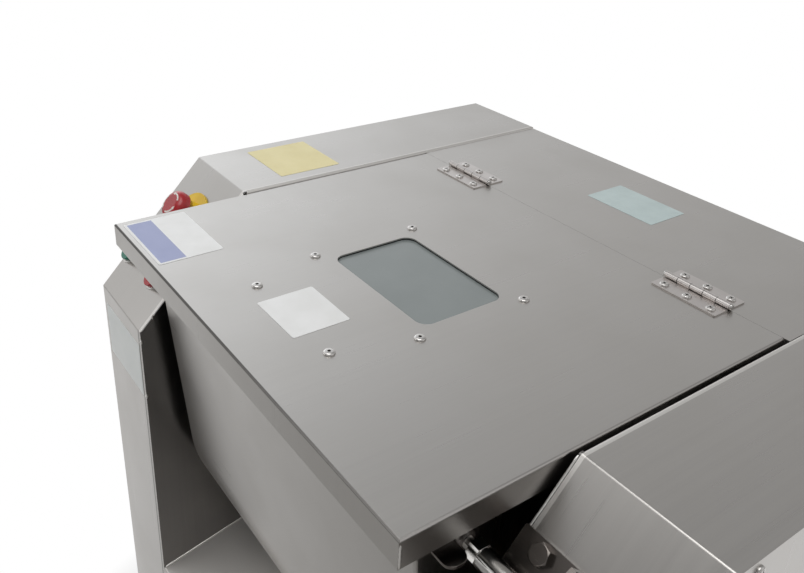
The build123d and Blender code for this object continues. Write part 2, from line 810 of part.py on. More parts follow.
def make_leaves(face, own_knuckles, bore):
    with BuildPart() as leaves:
        for middle in hinge_middles:
            knuckle_starts = [middle - hinge_length / 2 + index * knuckle_length
                              for index in range(knuckle_count)]
            with BuildSketch(Plane.XY.offset(lid_top)):
                with Locations((middle, hinge_y + face * hinge_leaf / 2)):
                    Rectangle(hinge_length, hinge_leaf)
                for index, start in enumerate(knuckle_starts):
                    if index not in own_knuckles:
                        with Locations((start + knuckle_length / 2, hinge_y)):
                            Rectangle(knuckle_length, 2 * (knuckle_radius + knuckle_bay), mode=Mode.SUBTRACT)
                with Locations((middle, hinge_y + face * hinge_screw_inset)):
                    with GridLocations(hinge_screw_pitch, 1, hinge_screw_count, 1):
                        Circle(hinge_screw_hole / 2, mode=Mode.SUBTRACT)
            extrude(amount=leaf_thickness)
            corners = leaves.edges().filter_by(Axis.Z).group_by(Axis.Y)[0 if face < 0 else -1]
            fillet([edge for edge in corners if abs(edge.center().X - middle) < hinge_length], leaf_thickness)
            for index in own_knuckles:
                with BuildSketch(Plane.YZ.offset(knuckle_starts[index] + knuckle_gap / 2)):
                    with Locations((hinge_y, hinge_pin_z)):
                        Circle(knuckle_radius)
                extrude(amount=knuckle_length - knuckle_gap)
            with BuildSketch(Plane.YZ.offset(middle - hinge_length)):
                with Locations((hinge_y, hinge_pin_z)):
                    Circle(bore)
            extrude(amount=2 * hinge_length, mode=Mode.SUBTRACT)
    return leaves


lid_hinge_leaves = make_leaves(-1, lid_knuckles, hinge_pin_radius + hinge_pin_clearance)
deck_hinge_leaves = make_leaves(1, deck_knuckles, hinge_pin_radius)

with BuildPart() as hinge_pins:
    for middle in hinge_middles:
        with BuildSketch(Plane.YZ.offset(middle - hinge_length / 2)):
            with Locations((hinge_y, hinge_pin_z)):
                Circle(hinge_pin_radius)
        extrude(amount=hinge_length)
        for end in (-1, 1):
            with BuildSketch(Plane.YZ.offset(middle + end * hinge_length / 2)):
                with Locations((hinge_y, hinge_pin_z)):
                    Circle(hinge_pin_head_radius)
            extrude(amount=end * hinge_pin_head)
            tips = hinge_pins.edges().filter_by(GeomType.CIRCLE)
            tip = (middle + end * (hinge_length / 2 + hinge_pin_head), hinge_y, hinge_pin_z)
            fillet(tips.sort_by_distance(tip)[0], hinge_pin_head_edge)

hinge_screw_rows = [middle + step * hinge_screw_pitch for middle in hinge_middles for step in (-1, 0, 1)]
leaf_top = Plane.XY.offset(lid_top + leaf_thickness)
lid_leaf_screws = make_screws(leaf_top, [(x, hinge_y - hinge_screw_inset) for x in hinge_screw_rows],
                              hinge_screw_head, hinge_screw_head_height, hinge_screw_shank, hinge_screw_grip)
deck_leaf_screws = make_screws(leaf_top, [(x, hinge_y + hinge_screw_inset) for x in hinge_screw_rows],
                               hinge_screw_head, hinge_screw_head_height, hinge_screw_shank, hinge_screw_grip)

# Trough: the bent shell between two end plates, with the front rim folded outwards

with BuildPart() as trough_shell:
    shell_half = trough_half_length - end_plate
    outer = trough_radius
    inner = trough_radius - trough_sheet
    with BuildSketch(Plane.YZ.offset(-shell_half)):
        with BuildLine():
            Line(trough_point(outer, front_rise, -1), trough_point(outer, 0, -1))
            ThreePointArc(trough_point(outer, 0, -1), (pivot_y, pivot_z - outer), trough_point(outer, 0, 1))
            Line(trough_point(outer, 0, 1), trough_point(outer, back_rise, 1))
            Line(trough_point(outer, back_rise, 1), trough_point(inner, back_rise, 1))
            Line(trough_point(inner, back_rise, 1), trough_point(inner, 0, 1))
            ThreePointArc(trough_point(inner, 0, 1), (pivot_y, pivot_z - inner), trough_point(inner, 0, -1))
            Line(trough_point(inner, 0, -1), trough_point(inner, front_rise, -1))
            Line(trough_point(inner, front_rise, -1), trough_point(outer, front_rise, -1))
        make_face()
        rim_y, rim_z = trough_point(inner, front_rise, -1)
        with Locations((rim_y, rim_z)):
            Rectangle(trough_lip + trough_sheet, trough_sheet, align=(Align.MAX, Align.MAX))
    extrude(amount=2 * shell_half)


def make_end_plate(side):
    crest = sqrt(swing_radius**2 - (trough_rim_z - pivot_z)**2)
    back_rim = trough_point(trough_radius, back_rise, 1)
    sweep_low = atan2(back_rim[1] - pivot_z, back_rim[0] - pivot_y)
    sweep_high = atan2(trough_rim_z - pivot_z, crest)
    sweep = (sweep_low + sweep_high) / 2
    sweep_spot = (pivot_y + swing_radius * cos(sweep), pivot_z + swing_radius * sin(sweep))
    with BuildPart() as end:
        with BuildSketch(Plane.YZ.offset(side * (trough_half_length - end_plate))):
            with BuildLine():
                Line(trough_point(trough_radius, front_rise, -1), trough_point(trough_radius, 0, -1))
                ThreePointArc(trough_point(trough_radius, 0, -1), (pivot_y, pivot_z - trough_radius),
                              trough_point(trough_radius, 0, 1))
                Line(trough_point(trough_radius, 0, 1), back_rim)
                ThreePointArc(back_rim, sweep_spot, (pivot_y + crest, trough_rim_z))
                Line((pivot_y + crest, trough_rim_z), trough_point(trough_radius, front_rise, -1))
            make_face()
            with Locations((pivot_y, pivot_z)):
                Circle(trunnion_bore, mode=Mode.SUBTRACT)
        extrude(amount=side * end_plate)
        outside = end.faces().sort_by(Axis.X)[-1 if side > 0 else 0]
        fillet(outside.outer_wire().edges(), end_plate_edge)
    return end


left_end_plate = make_end_plate(-1)
right_end_plate = make_end_plate(1)

with BuildPart() as trunnion_sleeves:
    for side in (-1, 1):
        with BuildSketch(Plane.YZ.offset(side * trough_half_length)):
            with Locations((pivot_y, pivot_z)):
                Circle(trunnion_radius - trunnion_clearance)
                Circle(trunnion_bore, mode=Mode.SUBTRACT)
        extrude(amount=side * (trunnion_end - trough_half_length))
        with BuildSketch(Plane.YZ.offset(side * trunnion_end)):
            with Locations((pivot_y, pivot_z)):
                Circle(seal_radius)
        extrude(amount=-side * seal_length, mode=Mode.SUBTRACT)

with BuildPart() as shaft_seals:
    for side in (-1, 1):
        with BuildSketch(Plane.YZ.offset(side * trunnion_end)):
            with Locations((pivot_y, pivot_z)):
                Circle(seal_radius)
                Circle(shaft_radius + seal_clearance, mode=Mode.SUBTRACT)
        extrude(amount=-side * seal_length)

with BuildPart() as trunnion_bushes:
    for side in (-1, 1):
        with BuildSketch(Plane.YZ.offset(side * inner_face)):
            with Locations((pivot_y, pivot_z)):
                Circle(bush_radius)
                Circle(trunnion_radius, mode=Mode.SUBTRACT)
        extrude(amount=-side * bush_length)
    bush_faces = trunnion_bushes.faces().filter_by(Axis.X).sort_by(Axis.X)[1:3]
    chamfer([face.outer_wire().edges()[0] for face in bush_faces], bush_lead)

with BuildPart() as lock_lug:
    with BuildSketch(Plane.YZ.offset(trough_half_length)):
        with Locations((lock_axis_y, lock_axis_z)):
            Circle(lug_radius)
            Circle(lug_bore_radius, mode=Mode.SUBTRACT)
    extrude(amount=lug_thickness)

# Agitator: two helical bars, half a turn apart, on arms that spring from hubs on the shaft

with BuildPart() as agitator_shaft:
    with BuildSketch(Plane.YZ.offset(shaft_left_end)):
        with Locations((pivot_y, pivot_z)):
            Circle(shaft_radius)
    extrude(amount=shaft_right_end - shaft_left_end)
    chamfer(agitator_shaft.edges().filter_by(GeomType.CIRCLE), shaft_chamfer)

with BuildPart() as agitator_blades:
    for station in arm_stations:
        with BuildSketch(Plane.YZ.offset(station - hub_length / 2)):
            with Locations((pivot_y, pivot_z)):
                Circle(hub_radius)
        extrude(amount=hub_length)
    for phase in (0, 180):
        for section in range(bar_sections):
            x = bar_half_length * (2 * section / (bar_sections - 1) - 1)
            turn = phase + bar_twist / 2 * x / bar_half_length
            spot = (pivot_y + bar_radius * cos(radians(turn)), pivot_z + bar_radius * sin(radians(turn)))
            with BuildSketch(Plane.YZ.offset(x)):
                with Locations(spot):
                    Rectangle(bar_radial, bar_across, rotation=turn)
        loft()
        for station in arm_stations:
            turn = radians(phase + bar_twist / 2 * station / bar_half_length)
            outward = (0, cos(turn), sin(turn))
            root = (station, pivot_y + arm_start * outward[1], pivot_z + arm_start * outward[2])
            tip = (station, pivot_y + bar_radius * outward[1], pivot_z + bar_radius * outward[2])
            with BuildSketch(Plane(root, (1, 0, 0), outward)):
                RectangleRounded(arm_root, arm_thickness, arm_corner)
            with BuildSketch(Plane(tip, (1, 0, 0), outward)):
                RectangleRounded(arm_tip, arm_thickness, arm_corner)
            loft()
    with BuildSketch(Plane.YZ.offset(-bar_half_length)):
        with Locations((pivot_y, pivot_z)):
            Circle(shaft_radius)
    extrude(amount=2 * bar_half_length, mode=Mode.SUBTRACT)

# Flange bearings, with the inserts that turn with the shaft

plate_outside = inner_face + side_plate

with BuildPart() as flange_bearings:
    for side in (-1, 1):
        with BuildSketch(Plane.YZ.offset(side * plate_outside)):
            with Locations((pivot_y, pivot_z)):
                RectangleRounded(bearing_flange, bearing_flange, bearing_flange_corner)
                with GridLocations(bearing_bolt_pitch, bearing_bolt_pitch, 2, 2):
                    Circle(bearing_bolt_hole / 2, mode=Mode.SUBTRACT)
        extrude(amount=side * bearing_flange_thickness)
        with BuildSketch(Plane.YZ.offset(side * (plate_outside + bearing_flange_thickness))):
            with Locations((pivot_y, pivot_z)):
                Circle(bearing_hub_radius)
        extrude(amount=side * (bearing_length - bearing_flange_thickness), taper=bearing_hub_draft)
        with BuildSketch(Plane.YZ.offset(side * plate_outside)):
            with Locations((pivot_y, pivot_z)):
                Circle(insert_radius + insert_clearance)
        extrude(amount=side * bearing_length, mode=Mode.SUBTRACT)

with BuildPart() as bearing_inserts:
    for side in (-1, 1):
        with BuildSketch(Plane.YZ.offset(side * plate_outside)):
            with Locations((pivot_y, pivot_z)):
                Circle(insert_radius)
                Circle(shaft_radius, mode=Mode.SUBTRACT)
        extrude(amount=side * insert_reach)

bearing_corners = [(pivot_y + y, pivot_z + z) for y in (-bearing_bolt_pitch / 2, bearing_bolt_pitch / 2)
                   for z in (-bearing_bolt_pitch / 2, bearing_bolt_pitch / 2)]

with BuildPart() as drive_bolts:
    for side in (-1, 1):
        nut_seat = plate_outside + bearing_flange_thickness
        for seat, height in ((inner_face, -bearing_bolt_head), (nut_seat, bearing_nut)):
            with BuildSketch(Plane.YZ.offset(side * seat)):
                with Locations(*bearing_corners):
                    RegularPolygon(bearing_bolt_flats / 2, 6, major_radius=False)
            extrude(amount=side * height)
        with BuildSketch(Plane.YZ.offset(side * inner_face)):
            with Locations(*bearing_corners):
                Circle(bearing_bolt_shank / 2)
        extrude(amount=side * (nut_seat + bearing_nut + lid_screw_tail - inner_face))
    with BuildSketch(Plane.XY.offset(floor_top + gearbox_foot_height)):
        with Locations(((gearbox_start + gearbox_end) / 2, drive_y)):
            with GridLocations(foot_bolt_pitch_x, foot_bolt_pitch_y, 2, 2):
                RegularPolygon(bearing_bolt_flats / 2, 6, major_radius=False)
    extrude(amount=bearing_bolt_head)


# Pulleys with two V grooves, revolved about their shafts

def make_pulley(y, z, rim_radius, bore, axis):
    with BuildPart() as pulley:
        with BuildSketch(Plane((pulley_start, y, z), (1, 0, 0), (0, -1, 0))):
            grooves = []
            for middle in (pulley_width / 2 - groove_pitch / 2, pulley_width / 2 + groove_pitch / 2):
                grooves.append((middle - groove_top / 2, rim_radius))
                grooves.append((middle - groove_bottom / 2, rim_radius - groove_depth))
                grooves.append((middle + groove_bottom / 2, rim_radius - groove_depth))
                grooves.append((middle + groove_top / 2, rim_radius))
            with BuildLine():
                Polyline((0, bore), (0, rim_radius), *grooves, (pulley_width, rim_radius),
                         (pulley_width, bore), close=True)
            make_face()
        revolve(axis=axis)
    return pulley


driven_solid = make_pulley(pivot_y, pivot_z, driven_pulley_radius, shaft_radius, tilt_axis)
drive_pulley = make_pulley(drive_y, drive_z, drive_pulley_radius, output_shaft_radius, drive_axis)

with BuildPart() as driven_pulley:
    add(driven_solid.part)
    web_recess = (pulley_width - pulley_web) / 2
    for start, inward in ((pulley_start, 1), (pulley_start + pulley_width, -1)):
        with BuildSketch(Plane.YZ.offset(start)):
            with Locations((pivot_y, pivot_z)):
                Circle(driven_pulley_radius - pulley_rim)
                Circle(pulley_hub_radius, mode=Mode.SUBTRACT)
        extrude(amount=inward * web_recess, mode=Mode.SUBTRACT)
    with BuildSketch(Plane.YZ.offset(pulley_start)):
        with Locations((pivot_y, pivot_z)):
            with PolarLocations(pulley_hole_circle, pulley_hole_count):
                Circle(pulley_hole_radius)
    extrude(amount=pulley_width, mode=Mode.SUBTRACT)

# V-belts: one closed loop in each pair of grooves

belt_heading = atan2(drive_z - pivot_z, drive_y - pivot_y)
belt_span = sqrt((drive_y - pivot_y)**2 + (drive_z - pivot_z)**2)
belt_wrap = acos((driven_pulley_radius - drive_pulley_radius) / belt_span)


def belt_point(y, z, radius, turn):
    return (y + radius * cos(turn), z + radius * sin(turn))


with BuildPart() as drive_belts:
    for groove in (-1, 1):
        belt_x = pulley_start + pulley_width / 2 + groove * groove_pitch / 2
        large = driven_pulley_radius - belt_sink
        small = drive_pulley_radius - belt_sink
        up = belt_heading + belt_wrap
        down = belt_heading - belt_wrap
        far = belt_heading + pi
        with BuildLine(Plane.YZ.offset(belt_x)) as belt_path:
            Line(belt_point(pivot_y, pivot_z, large, up), belt_point(drive_y, drive_z, small, up))
            ThreePointArc(belt_point(drive_y, drive_z, small, up),
                          belt_point(drive_y, drive_z, small, belt_heading),
                          belt_point(drive_y, drive_z, small, down))
            Line(belt_point(drive_y, drive_z, small, down), belt_point(pivot_y, pivot_z, large, down))
            ThreePointArc(belt_point(pivot_y, pivot_z, large, down), belt_point(pivot_y, pivot_z, large, far),
                          belt_point(pivot_y, pivot_z, large, up))
        start_y, start_z = belt_point(pivot_y, pivot_z, large, up)
        along = (0, sin(up), -cos(up))
        with BuildSketch(Plane((belt_x, start_y, start_z), (1, 0, 0), along)):
            with BuildLine():
                Polyline((-belt_top / 2, 0), (belt_top / 2, 0), (belt_bottom / 2, belt_height),
                         (-belt_bottom / 2, belt_height), close=True)
            make_face()
        sweep(path=belt_path.wire())

# Gear motor: finned motor with a fan cowl, and a foot-mounted gearbox

gearbox_length = gearbox_end - gearbox_start
gearbox_middle = (gearbox_start + gearbox_end) / 2

with BuildPart() as gearbox:
    with BuildSketch(Plane.YZ.offset(gearbox_start)):
        with BuildLine():
            crown_z = floor_top + gearbox_height - gearbox_crown
            half = gearbox_width / 2
            Polyline((drive_y - half, crown_z), (drive_y - half, floor_top), (drive_y + half, floor_top),
                     (drive_y + half, crown_z))
            ThreePointArc((drive_y + half, crown_z), (drive_y, floor_top + gearbox_height),
                          (drive_y - half, crown_z))
        make_face()
    extrude(amount=gearbox_length - gearbox_boss)
    with BuildSketch(Plane.XY.offset(floor_top)):
        with Locations((gearbox_middle, drive_y)):
            RectangleRounded(gearbox_length - 2 * gearbox_boss, gearbox_foot_width, gearbox_foot_corner)
    extrude(amount=gearbox_foot_height)
    with BuildSketch(Plane.YZ.offset(gearbox_end - gearbox_boss)):
        with Locations((drive_y, drive_z)):
            Circle(gearbox_boss_radius)
    extrude(amount=gearbox_boss)
    with BuildSketch(Plane.YZ.offset(gearbox_end)):
        with Locations((drive_y, drive_z)):
            Circle(output_shaft_radius + output_shaft_clearance)
    extrude(amount=-output_shaft_depth - output_shaft_gap, mode=Mode.SUBTRACT)

with BuildPart() as motor:
    with BuildSketch(Plane.YZ.offset(motor_start)):
        with Locations((drive_y, drive_z)):
            Circle(motor_radius)
            with PolarLocations(motor_radius, fin_count):
                Rectangle(2 * fin_height, fin_thickness)
    extrude(amount=gearbox_start - motor_flange - motor_start)
    with BuildSketch(Plane.YZ.offset(gearbox_start)):
        with Locations((drive_y, drive_z)):
            Circle(motor_flange_radius)
    extrude(amount=-motor_flange)
    with BuildSketch(Plane.XY.offset(drive_z + motor_radius)):
        with Locations((motor_start / 2, drive_y)):
            RectangleRounded(terminal_box[0], terminal_box[1], terminal_box_corner)
    extrude(amount=terminal_box[2])
    with BuildSketch(Plane.YZ.offset(motor_start)):
        with Locations((drive_y, drive_z)):
            Circle(cowl_radius)
    extrude(amount=-cowl_length)
    cowl_back = motor.edges().filter_by(GeomType.CIRCLE).sort_by(Axis.X)[0]
    fillet(cowl_back, cowl_edge)
    with BuildSketch(Plane.YZ.offset(motor_start - cowl_length)):
        with Locations((drive_y, drive_z)):
            with PolarLocations(cowl_radius / 2, cowl_slots):
                SlotOverall(cowl_radius / 2, vent_height)
    extrude(amount=cowl_edge, mode=Mode.SUBTRACT)

with BuildPart() as output_shaft:
    with BuildSketch(Plane.YZ.offset(gearbox_end - output_shaft_depth)):
        with Locations((drive_y, drive_z)):
            Circle(output_shaft_radius)
    extrude(amount=output_shaft_end - gearbox_end + output_shaft_depth)
    chamfer(output_shaft.edges().filter_by(GeomType.CIRCLE).sort_by(Axis.X)[-1], shaft_chamfer)


# Controls on the left fascia

def make_bezel(spot):
    with BuildPart() as bezel:
        with BuildSketch(left_fascia):
            with Locations(spot):
                Circle(bezel_radius)
        extrude(amount=bezel_height)
        rim = bezel.edges().filter_by(GeomType.CIRCLE).group_by(fascia_axis)[-1]
        chamfer(rim, bezel_edge)
        with BuildSketch(left_fascia):
            with Locations(spot):
                Circle(neck_radius)
        extrude(amount=-neck_depth)
        with BuildSketch(left_fascia.offset(bezel_height)):
            with Locations(spot):
                Circle(bezel_recess_radius)
        extrude(amount=bezel_recess_floor - bezel_height, mode=Mode.SUBTRACT)
        with BuildSketch(left_fascia.offset(bezel_height)):
            with Locations(spot):
                Circle(button_bore_radius)
        extrude(amount=-bezel_height - neck_depth, mode=Mode.SUBTRACT)
    return bezel


def make_button(spot):
    with BuildPart() as button:
        with BuildSketch(left_fascia.offset(button_seat)):
            with Locations(spot):
                Circle(button_radius)
        extrude(amount=button_top - button_seat)
        rim = button.edges().filter_by(GeomType.CIRCLE).group_by(fascia_axis)[-1]
        fillet(rim, button_edge)
        with BuildSketch(left_fascia.offset(button_seat)):
            with Locations(spot):
                Circle(button_stem_radius)
        extrude(amount=-button_seat - stem_depth)
    return button


start_bezel = make_bezel(control_spots[0])
stop_bezel = make_bezel(control_spots[1])
start_button = make_button(control_spots[0])
stop_button = make_button(control_spots[1])

with BuildPart() as estop_collar:
    with BuildSketch(left_fascia):
        with Locations(control_spots[2]):
            Circle(estop_disc_radius)
    extrude(amount=estop_disc_height)
    with BuildSketch(left_fascia):
        with Locations(control_spots[2]):
            Circle(estop_barrel_radius)
    extrude(amount=estop_barrel_height, taper=estop_barrel_draft)
    with BuildSketch(left_fascia):
        with Locations(control_spots[2]):
            Circle(neck_radius)
    extrude(amount=-neck_depth)
    with BuildSketch(left_fascia.offset(estop_barrel_height)):
        with Locations(control_spots[2]):
            Circle(button_bore_radius)
    extrude(amount=-estop_barrel_height - neck_depth, mode=Mode.SUBTRACT)

estop_shoulder = estop_cap_seat + estop_end_gap
estop_spigot_top = estop_cap_top - estop_cap_roof

with BuildPart() as estop_stem:
    with BuildSketch(left_fascia.offset(-stem_depth)):
        with Locations(control_spots[2]):
            Circle(estop_stem_radius)
    extrude(amount=stem_depth + estop_shoulder)
    with BuildSketch(left_fascia.offset(estop_shoulder)):
        with Locations(control_spots[2]):
            Circle(estop_spigot_radius)
    extrude(amount=estop_spigot_top - estop_shoulder)

with BuildPart() as estop_cap:
    with BuildSketch(left_fascia.offset(estop_cap_seat)):
        with Locations(control_spots[2]):
            Circle(estop_cap_radius)
    extrude(amount=estop_cap_top - estop_cap_seat)
    cap_rims = estop_cap.edges().filter_by(GeomType.CIRCLE).sort_by(fascia_axis)
    fillet(cap_rims[-1], estop_cap_crown)
    fillet(cap_rims[0], estop_cap_edge)
    with BuildSketch(left_fascia.offset(estop_cap_seat)):
        with Locations(control_spots[2]):
            Circle(estop_stem_radius + estop_cap_pocket)
    extrude(amount=estop_shoulder + estop_cap_play - estop_cap_seat, mode=Mode.SUBTRACT)
    with BuildSketch(left_fascia.offset(estop_cap_seat)):
        with Locations(control_spots[2]):
            Circle(estop_spigot_radius + estop_spigot_clearance)
    extrude(amount=estop_spigot_top + estop_cap_play - estop_cap_seat, mode=Mode.SUBTRACT)

with BuildPart() as contact_blocks:
    with BuildSketch(left_fascia.offset(-neck_depth)):
        with Locations(*control_spots):
            RectangleRounded(contact_width, contact_height, contact_corner)
    extrude(amount=-contact_depth)

# Trough lock: bracket with a flange and a guide for the sliding bar; the flange's top is tangent to the guide

flange_reach = lock_plate_high - lock_rise
flange_drop = lock_height - lock_plate_thickness
flange_touch = acos(lock_guide_half / flange_reach)
flange_touch_x = lock_guide_half * cos(flange_touch)
flange_touch_y = lock_guide_half * sin(flange_touch)

with BuildPart() as lock_bracket:
    with BuildSketch(right_fascia):
        plate_x = (lock_plate_left + lock_plate_right) / 2
        plate_rise = (lock_plate_low + lock_plate_high) / 2
        with Locations((plate_x, plate_rise)):
            RectangleRounded(lock_plate_right - lock_plate_left, lock_plate_high - lock_plate_low,
                             lock_plate_corner)
        with Locations(*[(lock_bolt_across, rise) for rise in lock_bolt_rises]):
            Circle(lock_bolt_hole / 2, mode=Mode.SUBTRACT)
    extrude(amount=lock_plate_thickness)
    with BuildSketch(Plane.YZ.offset(inner_face + lock_flange_start)):
        with Locations(Location((lock_axis_y, lock_axis_z), degrees(slope_tilt))):
            Polygon((-flange_reach, -flange_drop), (flange_reach, -flange_drop), (flange_reach, 0),
                    (flange_touch_x, flange_touch_y), (-flange_touch_x, flange_touch_y),
                    (-flange_reach, 0), align=None)
            Circle(lock_guide_half)
            Circle(lock_bar_radius + lock_bar_clearance, mode=Mode.SUBTRACT)
    extrude(amount=lock_flange_thickness)
    with BuildSketch(Plane.YZ.offset(inner_face + lock_guide_start)):
        with Locations(Location((lock_axis_y, lock_axis_z), degrees(slope_tilt))):
            Circle(lock_guide_half)
            Rectangle(2 * lock_guide_half, flange_drop, align=(Align.CENTER, Align.MAX))
            Circle(lock_bar_radius + lock_bar_clearance, mode=Mode.SUBTRACT)
    extrude(amount=lock_guide_length)

bolt_seat = right_fascia.offset(lock_plate_thickness)
bolt_spots = [(lock_bolt_across, rise) for rise in lock_bolt_rises]
bevel_foot = lock_bolt_crown + lock_bolt_head * tan(radians(lock_bolt_bevel))


def make_bolt_head(spot, turn):
    with BuildPart() as head:
        with BuildSketch(bolt_seat):
            with Locations(spot):
                RegularPolygon(lock_bolt_flats / 2, 6, major_radius=False, rotation=turn)
        extrude(amount=lock_bolt_head)
        with BuildSketch(bolt_seat):
            with Locations(spot):
                Circle(bevel_foot)
        extrude(amount=lock_bolt_head, taper=lock_bolt_bevel, mode=Mode.INTERSECT)
    return head


first_head = make_bolt_head(bolt_spots[0], lock_bolt_turns[0])
second_head = make_bolt_head(bolt_spots[1], lock_bolt_turns[1])

with BuildPart() as lock_bolts:
    add(first_head.part)
    add(second_head.part)
    with BuildSketch(bolt_seat):
        with Locations(*bolt_spots):
            Circle(lock_bolt_shank / 2)
    extrude(amount=-lock_bolt_grip)
    with BuildSketch(right_fascia.offset(-sheet)):
        with Locations(*bolt_spots):
            RegularPolygon(lock_bolt_flats / 2, 6, major_radius=False)
    extrude(amount=-lock_nut)

with BuildPart() as lock_bar:
    with BuildSketch(Plane.YZ.offset(lock_nose_start)):
        with Locations((lock_axis_y, lock_axis_z)):
            Circle(lock_nose_radius)
    extrude(amount=lock_collar_start - lock_nose_start)
    chamfer(lock_bar.edges().filter_by(GeomType.CIRCLE).sort_by(Axis.X)[0], lock_nose_chamfer)
    with BuildSketch(Plane.YZ.offset(lock_collar_start)):
        with Locations((lock_axis_y, lock_axis_z)):
            RegularPolygon(lock_collar_flats / 2, 6, major_radius=False)
    extrude(amount=lock_collar_length)
    with BuildSketch(Plane.YZ.offset(lock_collar_start)):
        with Locations((lock_axis_y, lock_axis_z)):
            Circle(lock_bar_radius)
    extrude(amount=lock_bar_end - lock_collar_start)

with BuildPart() as lock_knob:
    with BuildSketch(Plane((lock_bar_end, lock_axis_y, lock_axis_z), (1, 0, 0), (0, -1, 0))):
        with Locations((lock_knob_bulge, 0)):
            Circle(lock_knob_radius)
        knob_width = 2 * lock_knob_radius
        Rectangle(3 * knob_width, knob_width, align=(Align.CENTER, Align.MAX), mode=Mode.SUBTRACT)
        Rectangle(knob_width, knob_width, align=(Align.MAX, Align.CENTER), mode=Mode.SUBTRACT)
    revolve(axis=Axis((0, lock_axis_y, lock_axis_z), (1, 0, 0)))

# Electrics: control box in the left pedestal and the gland for the mains lead under the floor

with BuildPart() as control_box:
    with BuildSketch(Plane.YZ.offset(-plate_outside)):
        with Locations((box_y, box_z)):
            Rectangle(box_depth, box_height)
    extrude(amount=-(box_width - box_door))
    with BuildSketch(Plane.YZ.offset(-plate_outside - box_width + box_door)):
        with Locations((box_y, box_z)):
            RectangleRounded(box_depth + 2 * box_door_lip, box_height + 2 * box_door_lip, box_door_lip)
    extrude(amount=-box_door)

with BuildPart() as cable_gland:
    with BuildSketch(Plane.XY.offset(base_bottom + channel)):
        with Locations((gland_x, gland_y)):
            RegularPolygon(gland_flats / 2, 6, major_radius=False)
    extrude(amount=-gland_nut)
    with BuildSketch(Plane.XY.offset(base_bottom + channel - gland_nut)):
        with Locations((gland_x, gland_y)):
            Circle(gland_cap_radius)
    extrude(amount=-gland_cap, taper=gland_cap_taper)
    with BuildSketch(Plane.XY.offset(base_bottom + channel)):
        with Locations((gland_x, gland_y)):
            Circle(gland_hole / 2 - gland_fit)
    extrude(amount=floor_thickness + gland_tail)
    with BuildSketch(Plane.XY.offset(base_bottom)):
        with Locations((gland_x, gland_y)):
            Circle(gland_bore_radius)
    extrude(amount=channel + floor_thickness + gland_tail, mode=Mode.SUBTRACT)

pieces = {
    "base_frame": base_frame, "floor_plate": floor_plate, "foot_pads": foot_pads, "foot_studs": foot_studs,
    "left_wrap": left_wrap, "right_wrap": right_wrap, "left_side_plate": left_side_plate,
    "right_side_plate": right_side_plate, "left_cover": left_cover, "right_cover": right_cover,
    "cover_screws": cover_screws, "base_cover": base_cover, "rear_bulkhead": rear_bulkhead,
    "rear_deck": rear_deck, "rear_panel": rear_panel, "lid_rests": lid_rests,
    "lid_shell": lid_shell, "window_gasket": window_gasket, "window_pane": window_pane,
    "window_clamp": window_clamp, "lid_stiffener": lid_stiffener, "lid_screws": lid_screws,
    "lid_nuts": lid_nuts, "lid_hinge_leaves": lid_hinge_leaves, "deck_hinge_leaves": deck_hinge_leaves,
    "hinge_pins": hinge_pins, "lid_leaf_screws": lid_leaf_screws, "deck_leaf_screws": deck_leaf_screws,
    "trough_shell": trough_shell, "left_end_plate": left_end_plate, "right_end_plate": right_end_plate,
    "trunnion_sleeves": trunnion_sleeves, "shaft_seals": shaft_seals, "trunnion_bushes": trunnion_bushes,
    "lock_lug": lock_lug, "agitator_shaft": agitator_shaft, "agitator_blades": agitator_blades,
    "flange_bearings": flange_bearings, "bearing_inserts": bearing_inserts, "drive_bolts": drive_bolts,
    "driven_pulley": driven_pulley, "drive_pulley": drive_pulley, "drive_belts": drive_belts,
    "gearbox": gearbox, "motor": motor, "output_shaft": output_shaft,
    "start_bezel": start_bezel, "stop_bezel": stop_bezel, "start_button": start_button,
    "stop_button": stop_button, "estop_collar": estop_collar, "estop_stem": estop_stem,
    "estop_cap": estop_cap, "contact_blocks": contact_blocks, "lock_bracket": lock_bracket,
    "lock_bolts": lock_bolts, "lock_bar": lock_bar, "lock_knob": lock_knob, "control_box": control_box,
    "cable_gland": cable_gland,
}
for name, piece in pieces.items():
    piece.part.label = name
    export_step(piece.part, f"parts/{name}.step")
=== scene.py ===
import bpy
import bmesh
import math
from mathutils import Euler, Matrix, Vector


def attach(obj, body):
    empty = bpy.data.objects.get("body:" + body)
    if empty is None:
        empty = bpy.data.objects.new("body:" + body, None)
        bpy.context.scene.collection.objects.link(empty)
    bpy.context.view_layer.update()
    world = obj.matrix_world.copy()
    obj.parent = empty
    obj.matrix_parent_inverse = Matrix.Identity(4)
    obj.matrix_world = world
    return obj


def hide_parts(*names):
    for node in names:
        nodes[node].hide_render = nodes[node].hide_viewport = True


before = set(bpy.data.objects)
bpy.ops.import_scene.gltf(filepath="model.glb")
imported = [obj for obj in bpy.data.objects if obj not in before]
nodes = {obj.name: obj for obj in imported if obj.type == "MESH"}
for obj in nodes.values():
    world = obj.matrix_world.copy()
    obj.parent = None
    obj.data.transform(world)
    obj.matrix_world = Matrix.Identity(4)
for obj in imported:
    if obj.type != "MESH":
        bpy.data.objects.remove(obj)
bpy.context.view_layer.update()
mm = 0.001
scene = bpy.context.scene
scene.view_settings.view_transform = "Standard"
print("frame loaded:", len(nodes), "nodes")


# Small tools for pieces

def onlySelect(*pieces):
    bpy.ops.object.select_all(action="DESELECT")
    for piece in pieces:
        piece.select_set(True)
    bpy.context.view_layer.objects.active = pieces[0]


def dress(piece, *materials):
    piece.data.materials.clear()
    for material in materials:
        piece.data.materials.append(material)


def editMode(piece):
    onlySelect(piece)
    bpy.ops.object.mode_set(mode="EDIT")


def objectMode():
    bpy.ops.object.mode_set(mode="OBJECT")


